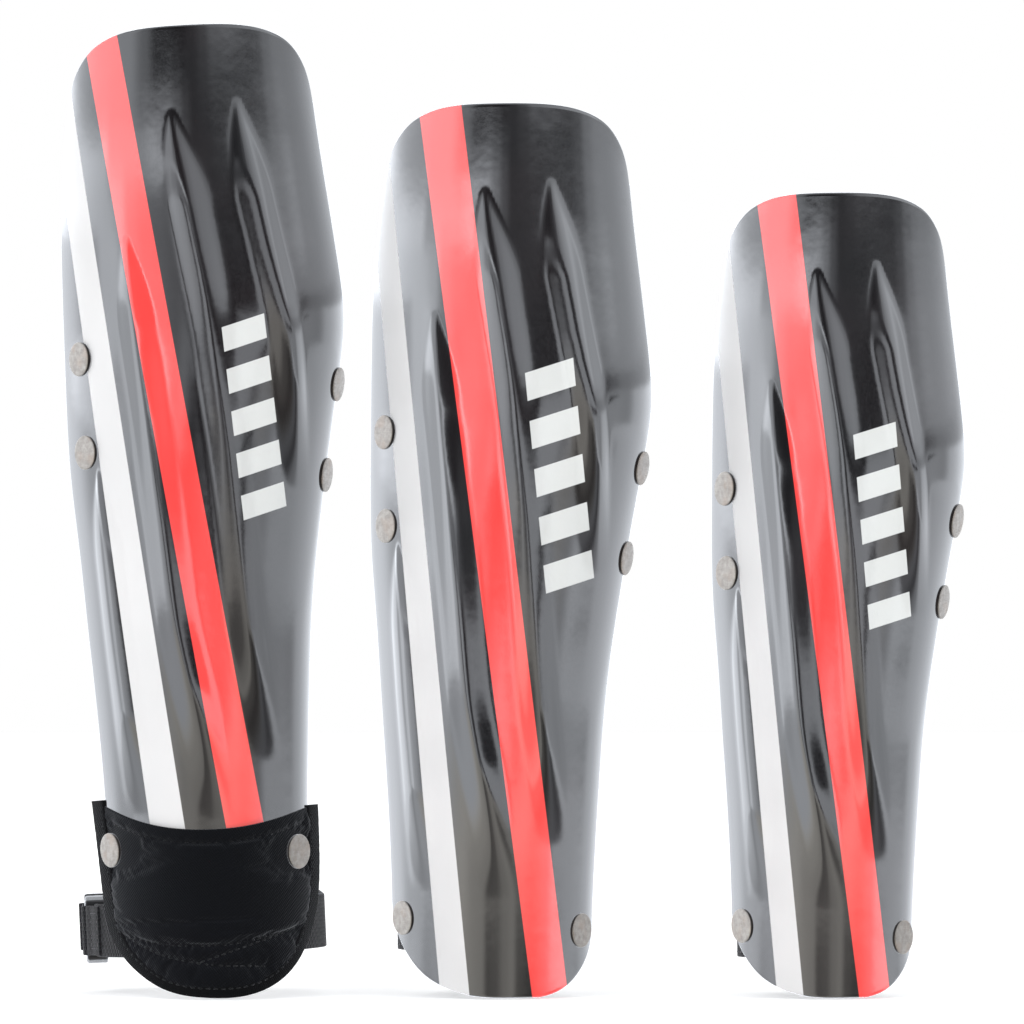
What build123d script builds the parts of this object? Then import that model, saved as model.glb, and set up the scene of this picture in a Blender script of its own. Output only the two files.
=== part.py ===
"""A set of three race shin guards: long (with a fabric boot flap), mid and short.

Each guard is a rigid moulded shell with four raised ribs, a foam liner, six capped rivets,
a wide elastic calf band and an ankle strap, both closed by side-release buckles.
Millimetres. +Z runs up the shin and the shell's front faces -Y. Left is -X, right is +X.
The origin lies on the foot edge of the mid guard's shell, at mid wall.
Each guard is built in its own shell frame, with z = 0 at the shell's foot, and then placed.
"""

import math
import os

import numpy as np
from build123d import *

os.makedirs("parts", exist_ok=True)

# ---------------------------------------------------------------- driving dimensions
SHELL_H = 384.0          # shell height of the long and mid guards
WALL = 2.4               # shell wall
EDGE_DEG = 75.0          # each side of the shell wraps this far round the leg
RIB_H = 3.0              # rib height
LINER_GAP = 0.8          # adhesive and cover film between wall and foam
LINER_T = 5.5            # foam thickness
LINER_DEG = 43.0         # liner half angle
LINER_W = 94.0           # liner width, seen from the front
LINER_X = -1.5           # middle of the liner
LINER_CORNER = 24.0
LINER_FOOT = 9.0         # the liner starts this far above the shell's foot
LINER_HEAD = 11.0        # and ends this far below its top
BAND_T = 1.6             # elastic band and webbing thickness
BAND_GAP = 0.5           # slack between wall and band
BAND_H = 58.0            # elastic band height at its rivets
WEB_H = 22.0             # webbing height at the buckles and for the ankle strap
STRAP_INSET = WALL + BAND_GAP  # a strap's outer face lies this far inside the shell's
STRAP_START = 50.5       # angle where a strap starts under the shell
CALF_REAR = 50.0         # depth of the calf loop behind the leg axis
ANKLE_REAR = 46.0        # depth of the ankle loop behind the leg axis
PULL = 6.5               # a strap draws in this much behind the shell's side edges
HEAD_R = 7.4             # rivet cap radius
HEAD_H = 2.1             # rivet cap height
POST_R = 2.0             # rivet post radius
HOLE_R = 2.2             # hole for a rivet post
WASHER_R = 5.5           # inner washer radius
WASHER_T = 1.0
WASHER_GAP = 0.45        # clearance in front of the washer
FLAP_T = 2.0             # boot flap fabric, two layers over foam
FLAP_GAP = 0.6           # clearance between shell and flap
BIND_W = 5.0             # binding tape width
BIND_RISE = 0.3          # binding tape stands proud of the fabric
FOLD_Z = 17.5            # height of the flap's fold seam above the floor
FOOT_Y = 53.4            # shell frame's origin behind the foot edge, at unit scale
TRIM_DEPTH = 140.0       # trimming outlines are extruded this far, well past every part
TRIM_X = 90.0            # half width of the trimming outlines beyond the sides

# scale, place of the shell's foot, lean about Y, turn about Z and band height at the rivets
GUARDS = {
    "long": dict(scale=1.0, x=-122.4, z=33.9, lean=-2.5, turn=3.0, band_h=BAND_H),
    "mid": dict(scale=1.0, x=0.0, z=0.0, lean=0.0, turn=0.0, band_h=BAND_H),
    "short": dict(scale=0.9, x=141.5, z=0.0, lean=0.0, turn=0.0, band_h=0.94 * BAND_H),
}
SIDES = {"left": -1, "right": 1}

# ---------------------------------------------------------------- measured tables, unit scale
# heights, and the x of the shell's left and right edges at each
EDGE_Z = [0, 25, 50, 75, 100, 125, 150, 165, 190, 215, 240, 254, 270, 300, 330, 360, 384]
EDGE_LEFT = [
    -50, -50, -50.5, -51.5, -53, -54.8, -56.3, -57.3, -59.5,
    -60, -59.8, -59.7, -59.6, -59, -56.5, -53, -50,
]
EDGE_RIGHT = [
    36, 36.2, 37.2, 38.6, 40.2, 42, 45, 47.4, 51.5,
    56, 60.8, 63.3, 62, 58.5, 54.8, 51.8, 50,
]

# rib crests as (height, angle), the heights where each rib ends at the top and at the bottom,
# and the length over which it fades in from the bottom
RIBS = [
    dict(
        crest=[(352, 19.5), (316, 24.0), (270, 29.2), (244, 34), (214, 41), (175, 50)],
        top=352, low=182, fade=50,
    ),
    dict(
        crest=[
            (346, -10.5), (317, -4.5), (272, 0.6), (248, 2.4),
            (202, 11.6), (129, 22.1), (100, 28), (66, 34.5),
        ],
        top=348, low=64, fade=60,
    ),
    dict(
        crest=[
            (294, -31.5), (248, -27.5), (220, -22.5), (193, -19), (148, -14.5),
            (123, -12), (96, -5.5), (69, 0), (44, 3.5),
        ],
        top=296, low=42, fade=60,
    ),
    dict(
        crest=[(205, -50), (179, -48.5), (123, -46), (60, -42), (25, -39)],
        top=196, low=46, fade=45,
    ),
]
RIB_TOP_FADE = 20.0      # length over which every rib fades out at its top

# front outline of the shell as (x, z): rounded corners, with a short flat at the foot
TOP_LEFT = [
    (-54.2, 345), (-52.2, 358), (-48.0, 369), (-41.0, 377.0), (-30.0, 381.8), (-14, 383.7),
    (4, 384),
]
TOP_RIGHT = [
    (4, 384), (20, 383.4), (32, 381.2), (42, 376.2), (48.2, 368.0), (51.3, 358), (52.6, 347),
]
LOW_RIGHT = [(36.2, 31), (35.8, 24), (33.6, 15.5), (28.6, 7.6), (21.5, 2.2), (14.0, 0.0)]
LOW_LEFT = [
    (-6.0, 0.0), (-16.3, 1.0), (-25.5, 3.6), (-34.7, 8.2), (-42.9, 17.0), (-47.6, 26.5),
    (-49.9, 38),
]

# rivets as (x, z)
RIVETS = {
    "calf_left": [(-52.3, 242.8), (-51.5, 202.5)],
    "calf_right": [(56.7, 227.6), (49.9, 188.7)],
    "ankle_left": [(-44.2, 33.9)],
    "ankle_right": [(30.5, 28.5)],
    "flap_left": [(-45.4, 31.3)],
    "flap_right": [(27.9, 27.4)],
}


# ---------------------------------------------------------------- shell form
def smooth_curve(heights, values, width=9.0):
    """A smooth curve through a table: linear, then blurred by a bell of this width."""
    step = 2.0
    reach = 30
    grid = np.arange(-60.0, 460.0, step)
    raw = np.interp(grid, heights, values)
    bell = np.exp(-0.5 * (np.arange(-reach, reach + 1) * step / width) ** 2)
    bell /= bell.sum()
    blurred = np.convolve(np.pad(raw, reach, mode="edge"), bell, mode="valid")
    return lambda z: float(np.interp(z, grid, blurred))


left_x = smooth_curve(EDGE_Z, EDGE_LEFT)
right_x = smooth_curve(EDGE_Z, EDGE_RIGHT)
crest_curves = [
    smooth_curve([z for z, _ in rib["crest"]][::-1], [deg for _, deg in rib["crest"]][::-1], 12.0)
    for rib in RIBS
]


def ease(value):
    """Smooth step from 0 to 1."""
    value = min(1.0, max(0.0, value))
    return value * value * (3 - 2 * value)


def oval(z):
    """(radius, centre x, centre y) of the shell's outer arc at height z, unit scale."""
    x_left, x_right = left_x(z), right_x(z)
    radius = (x_right - x_left) / 2 / math.sin(math.radians(EDGE_DEG))
    front = -60.0 + 5.0 * ((z - 200.0) / 200.0) ** 2
    return radius, (x_left + x_right) / 2, front + radius


def ridge(distance):
    """Cross-section of a rib: straight flanks, a rounded crest and a soft foot."""
    crest_round, flank, foot_round, full = 2.2, 7.0, 0.18, 2.016
    rise = 1.0 - (math.hypot(distance, crest_round) - crest_round) / flank
    return (rise + math.hypot(rise, foot_round)) / full


def rib_height(angle, z, radius):
    """Total height of the ribs at a point of the shell, unit scale."""
    total = 0.0
    for rib, crest in zip(RIBS, crest_curves):
        share = ease((rib["top"] - z) / RIB_TOP_FADE) * ease((z - rib["low"]) / rib["fade"])
        if share > 0:
            distance = math.radians(angle - crest(z)) * radius
            total += share * RIB_H * ridge(distance)
    return total


def skin(angle, z, offset=0.0, scale=1.0, ribbed=True):
    """Plan point of the shell's outer face at an angle and height, moved out by offset."""
    radius, x_mid, y_mid = oval(z / scale)
    rise = rib_height(angle, z / scale, radius) * scale if ribbed else 0.0
    turn = math.radians(angle)
    out = radius * scale + rise + offset
    return x_mid * scale + out * math.sin(turn), y_mid * scale - out * math.cos(turn)


def skin_plane(angle, z, scale):
    """Plane on the smooth outer face, its normal pointing out of the shell."""
    def point(deg, height):
        return Vector(*skin(deg, height, 0, scale, False), height)

    step = 0.5
    across = point(angle + step, z) - point(angle - step, z)
    along = point(angle, z + step) - point(angle, z - step)
    return Plane(
        origin=point(angle, z), x_dir=across.normalized(), z_dir=across.cross(along).normalized()
    )


def rivet_planes(scale, group):
    """Plane on the shell's outer face at each rivet of a group."""
    planes = []
    for x, z in RIVETS[group]:
        radius, x_mid, _ = oval(z)
        angle = math.degrees(math.asin((x - x_mid) / radius))
        planes.append(skin_plane(angle, z * scale, scale))
    return planes


# ---------------------------------------------------------------- shared building steps
def sheet_outline(outer, inner):
    """Closed outline of a thin wall between two rows of points. Both rows use equal
    parameters, so that a loft through many of them stays one clean surface."""
    params = [float(value) for value in np.linspace(0, 1, len(outer))]
    inner = inner[::-1]
    add(Edge.make_spline([Vector(*point, 0) for point in outer], parameters=params))
    Line(outer[-1], inner[0])
    add(Edge.make_spline([Vector(*point, 0) for point in inner], parameters=params))
    Line(inner[-1], outer[0])


def pierce(planes):
    """Holes along each rivet's axis in the part being built."""
    for plane in planes:
        with Locations(plane):
            Cylinder(HOLE_R, 24, mode=Mode.SUBTRACT)


def place(name, solids):
    """Stands a finished piece in the set and writes it."""
    guard = GUARDS[name.split("_")[0]]
    spot = (
        Location((guard["x"], FOOT_Y * guard["scale"], guard["z"]))
        * Location((0, 0, 0), (0, guard["lean"], 0))
        * Location((0, 0, 0), (0, 0, guard["turn"]))
    )
    with BuildPart() as placed:
        with Locations(spot):
            for solid in solids:
                add(solid)
    placed.part.label = name
    export_step(placed.part, f"parts/{name}.step")


# ---------------------------------------------------------------- buckle templates
# Buckle frame: +X is the way the plug leaves, +Y points away from the leg, +Z is up.
BUCKLE_H = 30.0          # height across the strap
SOCKET_T = 9.0
TAIL = -26.0             # end of the socket
MOUTH = 4.0              # mouth of the socket
CAVITY_END = -17.0       # blind end of the socket's cavity
CAVITY_HALF_H = 12.2
CAVITY_T = 5.2
WINDOW_X = -10.2         # middle of the latch windows and thumb scoops
PLUG_START = 4.3
PLUG_END = 23.5
PLUG_T = 7.0
SLOT_H = WEB_H + 1.0     # webbing slots
PIN_X, PIN_Z = 6.3, 9.5  # latch arm root
PIN_R = 1.8
LATCH_T = 4.2
POCKET_T = 4.6           # pocket for the latch arm's root
BUCKLE_CLEAR = 1.0       # a strap ends this far from its buckle


def build_socket():
    half = BUCKLE_H / 2
    with BuildPart() as socket:
        with BuildSketch(Plane.XZ):
            with BuildLine():
                Polyline(
                    (TAIL, 0), (TAIL, 12.6), (-20, 14.2), (-14, half), (0, half),
                    (MOUTH, 14.6), (MOUTH, -14.6),
                    (0, -half), (-14, -half), (-20, -14.2), (TAIL, -12.6), (TAIL, 0),
                )
            make_face()
            fillet(vertices().group_by(Axis.X)[0], 2.2)
        extrude(amount=SOCKET_T / 2, both=True)
        fillet(faces().filter_by(Axis.Y).edges(), 1.1)
        # cavity, cut 1 mm past the mouth, and a window at each end of its height
        with Locations(((CAVITY_END + MOUTH + 1.0) / 2, 0, 0)):
            Box(MOUTH + 1.0 - CAVITY_END, CAVITY_T, 2 * CAVITY_HALF_H, mode=Mode.SUBTRACT)
        with Locations((WINDOW_X, 0, 14.2), (WINDOW_X, 0, -14.2)):
            Box(10.0, CAVITY_T, 5.0, mode=Mode.SUBTRACT)
        # webbing slot
        with BuildSketch(Plane.XZ):
            with Locations((-21.75, 0)):
                RectangleRounded(3.4, SLOT_H, 1.2)
        extrude(amount=10, both=True, mode=Mode.SUBTRACT)
        # thumb scoops through the upper and lower edges, at the windows
        with BuildSketch(Plane.XZ):
            with Locations((WINDOW_X, 17.5), (WINDOW_X, -17.5)):
                Ellipse(7.0, 5.6)
        extrude(amount=10, both=True, mode=Mode.SUBTRACT)
    return socket.part


def build_plug():
    with BuildPart() as plug:
        with BuildSketch(Plane.XZ):
            with Locations(((PLUG_START + PLUG_END) / 2, 0)):
                RectangleRounded(PLUG_END - PLUG_START, BUCKLE_H - 1.0, 2.0)
        extrude(amount=PLUG_T / 2, both=True)
        fillet(faces().filter_by(Axis.Y).edges(), 0.9)
        # two webbing slots
        with BuildSketch(Plane.XZ):
            with Locations((12.6, 0), (18.4, 0)):
                RectangleRounded(3.2, SLOT_H, 1.1)
        extrude(amount=10, both=True, mode=Mode.SUBTRACT)
        # middle bar, reaching into the socket
        with Locations((-5.2, 0, 0)):
            Box(19.6, 3.6, 6.0)
        # a pocket for each latch arm's root, open towards the socket
        for sign in (1, -1):
            with BuildSketch(Plane.XZ.offset(-POCKET_T / 2)):
                with Locations((PIN_X, sign * PIN_Z)):
                    Circle(PIN_R + 0.15)
                with BuildLine():
                    Polyline(
                        (PIN_X, sign * (PIN_Z - 1.2)),
                        (4.0, sign * (PIN_Z - 2.5)),
                        (4.0, sign * (PIN_Z + 2.2)),
                        (PIN_X, sign * (PIN_Z + 1.2)),
                        (PIN_X, sign * (PIN_Z - 1.2)),
                    )
                make_face()
            extrude(amount=POCKET_T, mode=Mode.SUBTRACT)
    return plug.part


def build_latch(sign):
    """A latch arm with its catch: the upper one for sign 1, the lower one for -1."""
    with BuildPart() as latch:
        with BuildSketch(Plane.XZ.offset(-LATCH_T / 2)):
            with BuildLine():
                Polyline(
                    (PIN_X, sign * (PIN_Z - 0.9)), (-15.0, sign * 9.0), (-16.4, sign * 9.9),
                    (-15.6, sign * 11.2), (-13.2, sign * 14.0), (-5.6, sign * 14.2),
                    (-5.4, sign * 12.0), (0.0, sign * 11.0),
                    (PIN_X, sign * (PIN_Z + 0.9)), (PIN_X, sign * (PIN_Z - 0.9)),
                )
            make_face()
            with Locations((PIN_X, sign * PIN_Z)):
                Circle(PIN_R)
        extrude(amount=LATCH_T)
    return latch.part


BUCKLE_PARTS = {
    "socket": build_socket(),
    "plug": build_plug(),
    "latch_top": build_latch(1),
    "latch_bottom": build_latch(-1),
}


def buckle(prefix, plane):
    """One closed side-release buckle, its frame lying on the plane."""
    for part_name, template in BUCKLE_PARTS.items():
        with BuildPart() as piece:
            with Locations(plane):
                add(template)
        place(f"{prefix}_{part_name}", piece.solids())


# ---------------------------------------------------------------- strap loops
def loop_xy(angle, z, z_mid, scale, inset, rear):
    """Path of a strap in plan. Under the shell it follows the wall; behind the leg it is a
    flat-backed oval."""
    radius_here, x_here, y_here = oval(z / scale)
    radius_mid, x_mid, y_mid = oval(z_mid / scale)
    turned = abs(angle)
    blend = ease((turned - 78.0) / 22.0)
    radius = (radius_here * (1 - blend) + radius_mid * blend) * scale
    radius -= inset + PULL * ease((turned - 77.0) / 15.0)
    x_axis = (x_here * (1 - blend) + x_mid * blend) * scale
    y_axis = (y_here * (1 - blend) + y_mid * blend) * scale
    sine, cosine = math.sin(math.radians(angle)), math.cos(math.radians(angle))
    if turned <= 90.0:
        return x_axis + radius * sine, y_axis - radius * cosine
    power = 2.0 / 2.6
    x = x_axis + radius * math.copysign(abs(sine) ** power, sine)
    return x, y_axis + rear * abs(cosine) ** power


def stop_angle(z, scale, rear, sign):
    """Angle at which a loop's flat back reaches the strap's end of the buckle."""
    reach = TAIL - BUCKLE_CLEAR if sign < 0 else PLUG_END + BUCKLE_CLEAR
    x_target = oval(z / scale)[1] * scale + reach
    low, high = 95.0, 179.5
    for _ in range(50):
        middle = (low + high) / 2
        x = loop_xy(sign * middle, z, z, scale, STRAP_INSET, rear)[0]
        if sign * (x - x_target) > 0:
            low = middle
        else:
            high = middle
    return sign * low


def strap(label, scale, z_range, z_mid, side, rear, rivets, levels, outline=None):
    """A strap from under the shell to its buckle, trimmed to its side outline if it has one."""
    sign = SIDES[side]
    angles = np.linspace(sign * STRAP_START, stop_angle(z_mid, scale, rear, sign), 41)
    inner_inset, inner_rear = STRAP_INSET + BAND_T, rear - BAND_T
    with BuildPart() as band:
        for z in np.linspace(*z_range, levels):
            with BuildSketch(Plane.XY.offset(float(z))):
                with BuildLine():
                    sheet_outline(
                        [loop_xy(deg, z, z_mid, scale, STRAP_INSET, rear) for deg in angles],
                        [loop_xy(deg, z, z_mid, scale, inner_inset, inner_rear) for deg in angles],
                    )
                make_face()
        loft()
        if outline:
            with BuildSketch(Plane.YZ):
                with BuildLine():
                    Polyline(*outline, outline[0])
                make_face()
                # rounds only corners within 60 mm of the sketch's X axis
                fillet(vertices().filter_by(lambda corner: abs(corner.Y) < 60), 14)
            extrude(amount=sign * TRIM_DEPTH, mode=Mode.INTERSECT)
        pierce(rivet_planes(scale, rivets))
    place(label, band.solids())


def rear_buckle(prefix, scale, z, rear):
    """A buckle at the middle of a loop's flat back."""
    _, x_mid, y_mid = oval(z / scale)
    origin = (x_mid * scale, y_mid * scale + rear - BAND_T / 2, z)
    buckle(prefix, Plane(origin=origin, x_dir=(1, 0, 0), z_dir=(0, 0, 1)))


# ---------------------------------------------------------------- pieces of every guard
def scaled(points, scale):
    return [(x * scale, z * scale) for x, z in points]


def make_shell(guard, scale, rivets):
    """Lofted wall with ribs, trimmed to its front outline and drilled for its rivets."""
    angles = np.linspace(-EDGE_DEG, EDGE_DEG, 61)
    top_left, top_right = scaled(TOP_LEFT, scale), scaled(TOP_RIGHT, scale)
    low_right, low_left = scaled(LOW_RIGHT, scale), scaled(LOW_LEFT, scale)
    with BuildPart() as shell:
        for z in np.linspace(0, SHELL_H * scale, 33):
            with BuildSketch(Plane.XY.offset(float(z))):
                with BuildLine():
                    sheet_outline(
                        [skin(deg, z, 0, scale) for deg in angles],
                        [skin(deg, z, -WALL, scale) for deg in angles],
                    )
                make_face()
        loft()
        with BuildSketch(Plane.XZ):
            with BuildLine():
                Spline(*top_left)
                Spline(*top_right)
                Polyline(
                    top_right[-1], (TRIM_X, top_right[-1][1]),
                    (TRIM_X, low_right[0][1]), low_right[0],
                )
                Spline(*low_right)
                Line(low_right[-1], low_left[0])
                Spline(*low_left)
                Polyline(
                    low_left[-1], (-TRIM_X, low_left[-1][1]),
                    (-TRIM_X, top_left[0][1]), top_left[0],
                )
            make_face()
        extrude(amount=TRIM_DEPTH, both=True, mode=Mode.INTERSECT)
        pierce(rivets)
    place(f"{guard}_shell", shell.solids())


def make_liner(guard, scale):
    """Foam liner glued inside the shell."""
    low, high = LINER_FOOT * scale, (SHELL_H - LINER_HEAD) * scale
    angles = np.linspace(-LINER_DEG, LINER_DEG, 31)
    outer = -WALL - LINER_GAP
    with BuildPart() as liner:
        for z in np.linspace(low, high, 17):
            with BuildSketch(Plane.XY.offset(float(z))):
                with BuildLine():
                    sheet_outline(
                        [skin(deg, z, outer, scale, False) for deg in angles],
                        [skin(deg, z, outer - LINER_T, scale, False) for deg in angles],
                    )
                make_face()
        loft()
        with BuildSketch(Plane.XZ):
            with Locations((LINER_X * scale, (low + high) / 2)):
                RectangleRounded(LINER_W * scale, high - low, LINER_CORNER * scale)
        extrude(amount=TRIM_DEPTH, both=True, mode=Mode.INTERSECT)
    place(f"{guard}_liner", liner.solids())


def washer_depth(on_flap):
    """Depth of a washer's front face behind the shell's outer face. Rivets through the flap
    have no band under the wall."""
    return WALL + WASHER_GAP + (0 if on_flap else BAND_T + BAND_GAP)


def make_rivet_caps(guard, rivets):
    """A domed cap outside the shell with its post, for each (plane, on_flap)."""
    with BuildPart() as caps:
        for plane, on_flap in rivets:
            under = FLAP_GAP + FLAP_T + BIND_RISE + 0.6 if on_flap else 0.15
            deep = washer_depth(on_flap) + WASHER_T + 0.25
            with BuildPart(mode=Mode.PRIVATE) as cap:
                with Locations((0, 0, under)):
                    Cylinder(HEAD_R, HEAD_H, align=(Align.CENTER, Align.CENTER, Align.MIN))
                fillet(cap.faces().sort_by(Axis.Z)[-1].edges(), 1.1)
                # the post runs 0.3 mm into the cap
                with Locations((0, 0, -deep)):
                    Cylinder(
                        POST_R, deep + under + 0.3,
                        align=(Align.CENTER, Align.CENTER, Align.MIN),
                    )
            with Locations(plane):
                add(cap.part)
    place(f"{guard}_rivet_caps", caps.solids())


def make_rivet_washers(guard, rivets):
    """A washer inside the shell for each (plane, on_flap)."""
    with BuildPart() as washers:
        for plane, on_flap in rivets:
            with BuildSketch(plane.offset(-washer_depth(on_flap))):
                Circle(WASHER_R)
                Circle(POST_R + 0.05, mode=Mode.SUBTRACT)
            extrude(amount=-WASHER_T)
    place(f"{guard}_rivet_washers", washers.solids())


def make_calf_band(guard, scale, band_h):
    """Elastic band, wide at the rivets and narrow at its buckle."""
    half, web = band_h / 2, WEB_H / 2
    rear = CALF_REAR * scale
    rivet_z = {
        side: sum(z for _, z in RIVETS[f"calf_{side}"]) / 2 * scale for side in SIDES
    }
    z_mid = (rivet_z["left"] + rivet_z["right"]) / 2
    # the band tapers between these two depths
    taper_start, taper_end = -18 * scale, 15.0 * scale + 18
    front, back = -80, 90
    for side, z in rivet_z.items():
        outline = [
            (front, z - half), (taper_start, z - half), (taper_end, z_mid - web),
            (back, z_mid - web), (back, z_mid + web), (taper_end, z_mid + web),
            (taper_start, z + half), (front, z + half),
        ]
        z_range = (min(z - half, z_mid - web), max(z + half, z_mid + web))
        strap(
            f"{guard}_calf_band_{side}", scale, z_range, z_mid, side, rear,
            rivets=f"calf_{side}", levels=7, outline=outline,
        )
    rear_buckle(f"{guard}_calf", scale, z_mid, rear)


def make_ankle_strap(guard, scale):
    """Plain webbing strap of a guard without a flap."""
    z_mid = (RIVETS["ankle_left"][0][1] + RIVETS["ankle_right"][0][1]) / 2 * scale
    rear = ANKLE_REAR * scale
    z_range = (z_mid - WEB_H / 2, z_mid + WEB_H / 2)
    for side in SIDES:
        strap(
            f"{guard}_ankle_strap_{side}", scale, z_range, z_mid, side, rear,
            rivets=f"ankle_{side}", levels=4,
        )
    rear_buckle(f"{guard}_ankle", scale, z_mid, rear)


for guard_name, settings in GUARDS.items():
    guard_scale = settings["scale"]
    has_flap = guard_name == "long"
    low_group = "flap" if has_flap else "ankle"
    guard_rivets = [
        (plane, group == "flap")
        for group in ("calf", low_group)
        for side in SIDES
        for plane in rivet_planes(guard_scale, f"{group}_{side}")
    ]
    make_shell(guard_name, guard_scale, [plane for plane, _ in guard_rivets])
    make_liner(guard_name, guard_scale)
    make_rivet_caps(guard_name, guard_rivets)
    make_rivet_washers(guard_name, guard_rivets)
    make_calf_band(guard_name, guard_scale, settings["band_h"])
    if not has_flap:
        make_ankle_strap(guard_name, guard_scale)

# ---------------------------------------------------------------- long guard: boot flap
FLOOR = -GUARDS["long"]["z"]         # floor level in the long guard's frame
FOLD = FLOOR + FOLD_Z                # fold seam
SEAM_GAP = 0.15                      # clearance at the fold and along the binding
# (x, z) of the U outline, from the right top corner round the foot to the left one
FLAP_EDGE = [
    (41.4, 46.7), (41.2, 25), (39.3, 4.3), (33.8, -12.7), (24.6, -25.1), (9.3, -32.6),
    (-10.0, FLOOR + 0.5), (-29.2, -29.2), (-41.7, -20.1), (-50.2, -7.5), (-53.4, 10.4),
    (-54.8, 30), (-56.5, 52.3),
]
# (x, z) of the top edge, from left to right
FLAP_TOP = [
    (-56.5, 52.3), (-43, 45.0), (-26, 39.8), (-9, 38.2), (10, 39.0), (27, 42.4), (41.4, 46.7),
]
FLAP_BEND = 58.0                     # the flap follows the shell up to this angle, then is flat


def flap_point(arc, z, offset):
    """Plan point of the flap at height z. arc is the angle in degrees up to FLAP_BEND, and past
    it one unit is one degree's worth of arc laid out straight. offset moves out from the
    shell's face."""
    radius, x_mid, y_mid = oval(max(z, 0.0))
    side = -1 if arc < 0 else 1
    turn = math.radians(min(abs(arc), FLAP_BEND))
    run = math.radians(max(0.0, abs(arc) - FLAP_BEND)) * radius
    out = radius + offset
    return (
        x_mid + side * (out * math.sin(turn) + run * math.cos(turn)),
        y_mid - out * math.cos(turn) + run * math.sin(turn),
    )


def flap_sheet(inner, outer):
    """Plain sheet outside the shell, tall and wide enough for the flap."""
    spread = np.linspace(-84, 84, 43)
    sections = []
    for z in np.linspace(FLOOR - 1, 54, 12):
        with BuildSketch(Plane.XY.offset(float(z))) as section:
            with BuildLine():
                sheet_outline(
                    [flap_point(arc, z, outer) for arc in spread],
                    [flap_point(arc, z, inner) for arc in spread],
                )
            make_face()
        sections.append(section.sketch.face())
    return Solid.make_loft([face.outer_wire() for face in sections])


def flap_face(inset, below_top):
    """Front outline of the flap as a face: the U outline moved in by inset, carried on upwards
    or cut by the flap's own top edge."""
    with BuildLine(mode=Mode.PRIVATE):
        edge = Spline(*FLAP_EDGE)
    points = []
    for share in np.linspace(0, 1, 31):
        spot, along = edge @ float(share), edge % float(share)
        points.append((spot.X + along.Y * inset, spot.Y - along.X * inset))
    with BuildSketch() as outline:
        with BuildLine():
            Spline(*points)
            Polyline(points[-1], (points[-1][0], 90), (points[0][0], 90), points[0])
        make_face()
        if below_top:
            with BuildLine():
                Spline(*FLAP_TOP)
                Polyline(
                    FLAP_TOP[-1], (TRIM_X, FLAP_TOP[-1][1]), (TRIM_X, -60),
                    (-TRIM_X, -60), (-TRIM_X, FLAP_TOP[0][1]), FLAP_TOP[0],
                )
            make_face(mode=Mode.INTERSECT)
    return outline.sketch


flap_rivets = rivet_planes(1, "flap_left") + rivet_planes(1, "flap_right")
panel_face = flap_face(BIND_W + SEAM_GAP, True)
tape_face = flap_face(0, False) - flap_face(BIND_W, False)
panel_span = (FLAP_GAP, FLAP_GAP + FLAP_T)
tape_span = (FLAP_GAP - 0.12, FLAP_GAP + FLAP_T + BIND_RISE)
below_fold = (FLOOR - 5, FOLD - SEAM_GAP)

# name, offsets of the two faces, front outline, height range, number of solids kept
for label, span, face, (low, high), count in (
    ("long_flap_panel", panel_span, panel_face, (FOLD + SEAM_GAP, 80.0), 1),
    ("long_flap_tongue", panel_span, panel_face, below_fold, 1),
    ("long_flap_binding", tape_span, tape_face, (FOLD + SEAM_GAP, 53.0), 2),
    ("long_flap_tongue_binding", tape_span, tape_face, below_fold, 1),
):
    with BuildPart() as sheet:
        add(flap_sheet(*span))
        with BuildSketch(Plane.XZ):
            add(face)
            with Locations((0, (low + high) / 2)):
                Rectangle(300, high - low, mode=Mode.INTERSECT)
        extrude(amount=TRIM_DEPTH, both=True, mode=Mode.INTERSECT)
        pierce(flap_rivets)
    place(label, sheet.solids().sort_by(SortBy.VOLUME)[-count:])

# ---------------------------------------------------------------- long guard: boot strap
# The strap starts under the flap's side edges; its buckle is on the left of the boot.
STRAP_Z = -3.9
BOOT_HALF_W = 50.0       # half width of the boot loop
RUN_Y = (-8.0, 46.0)     # the loop runs straight beside the boot between these
BOOT_REAR = 84.0         # back of the loop
BOOT_BUCKLE_Y = 20.0
boot_x = oval(0)[1]


def boot_path(side):
    """Outer face of the boot strap in plan, from under the flap's edge to the middle of the
    back."""
    rough = [flap_point(side * arc, STRAP_Z, FLAP_GAP - 0.3) for arc in (56, 60, 64, 68, 73)]
    x_side = boot_x + side * BOOT_HALF_W
    rough += [(x_side - side * 0.6, RUN_Y[0] - 5.0)]
    rough += [(x_side, y) for y in np.linspace(*RUN_Y, 9)]
    back = BOOT_REAR - RUN_Y[1]
    rough += [
        (boot_x + side * BOOT_HALF_W * math.cos(turn), RUN_Y[1] + back * math.sin(turn))
        for turn in np.radians(np.linspace(10, 90, 9))
    ]
    points = np.array(rough, float)
    steps = np.linalg.norm(np.diff(points, axis=0), axis=1)
    travel = np.concatenate([[0], np.cumsum(steps)])
    even = np.linspace(0, travel[-1], 161)
    path = np.stack([np.interp(even, travel, points[:, axis]) for axis in (0, 1)], 1)
    # smooths all but the first points, which lie under the flap
    for _ in range(24):
        following = np.concatenate([path[10:-1], path[-1:]])
        path[9:-1] = 0.25 * path[8:-2] + 0.5 * path[9:-1] + 0.25 * following
    return path


def offset_in(path, side, distance):
    """The path moved sideways by distance, towards the leg."""
    along = np.gradient(path, axis=0)
    along /= np.linalg.norm(along, axis=1)[:, None]
    return path + side * distance * np.stack([-along[:, 1], along[:, 0]], 1)


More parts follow.
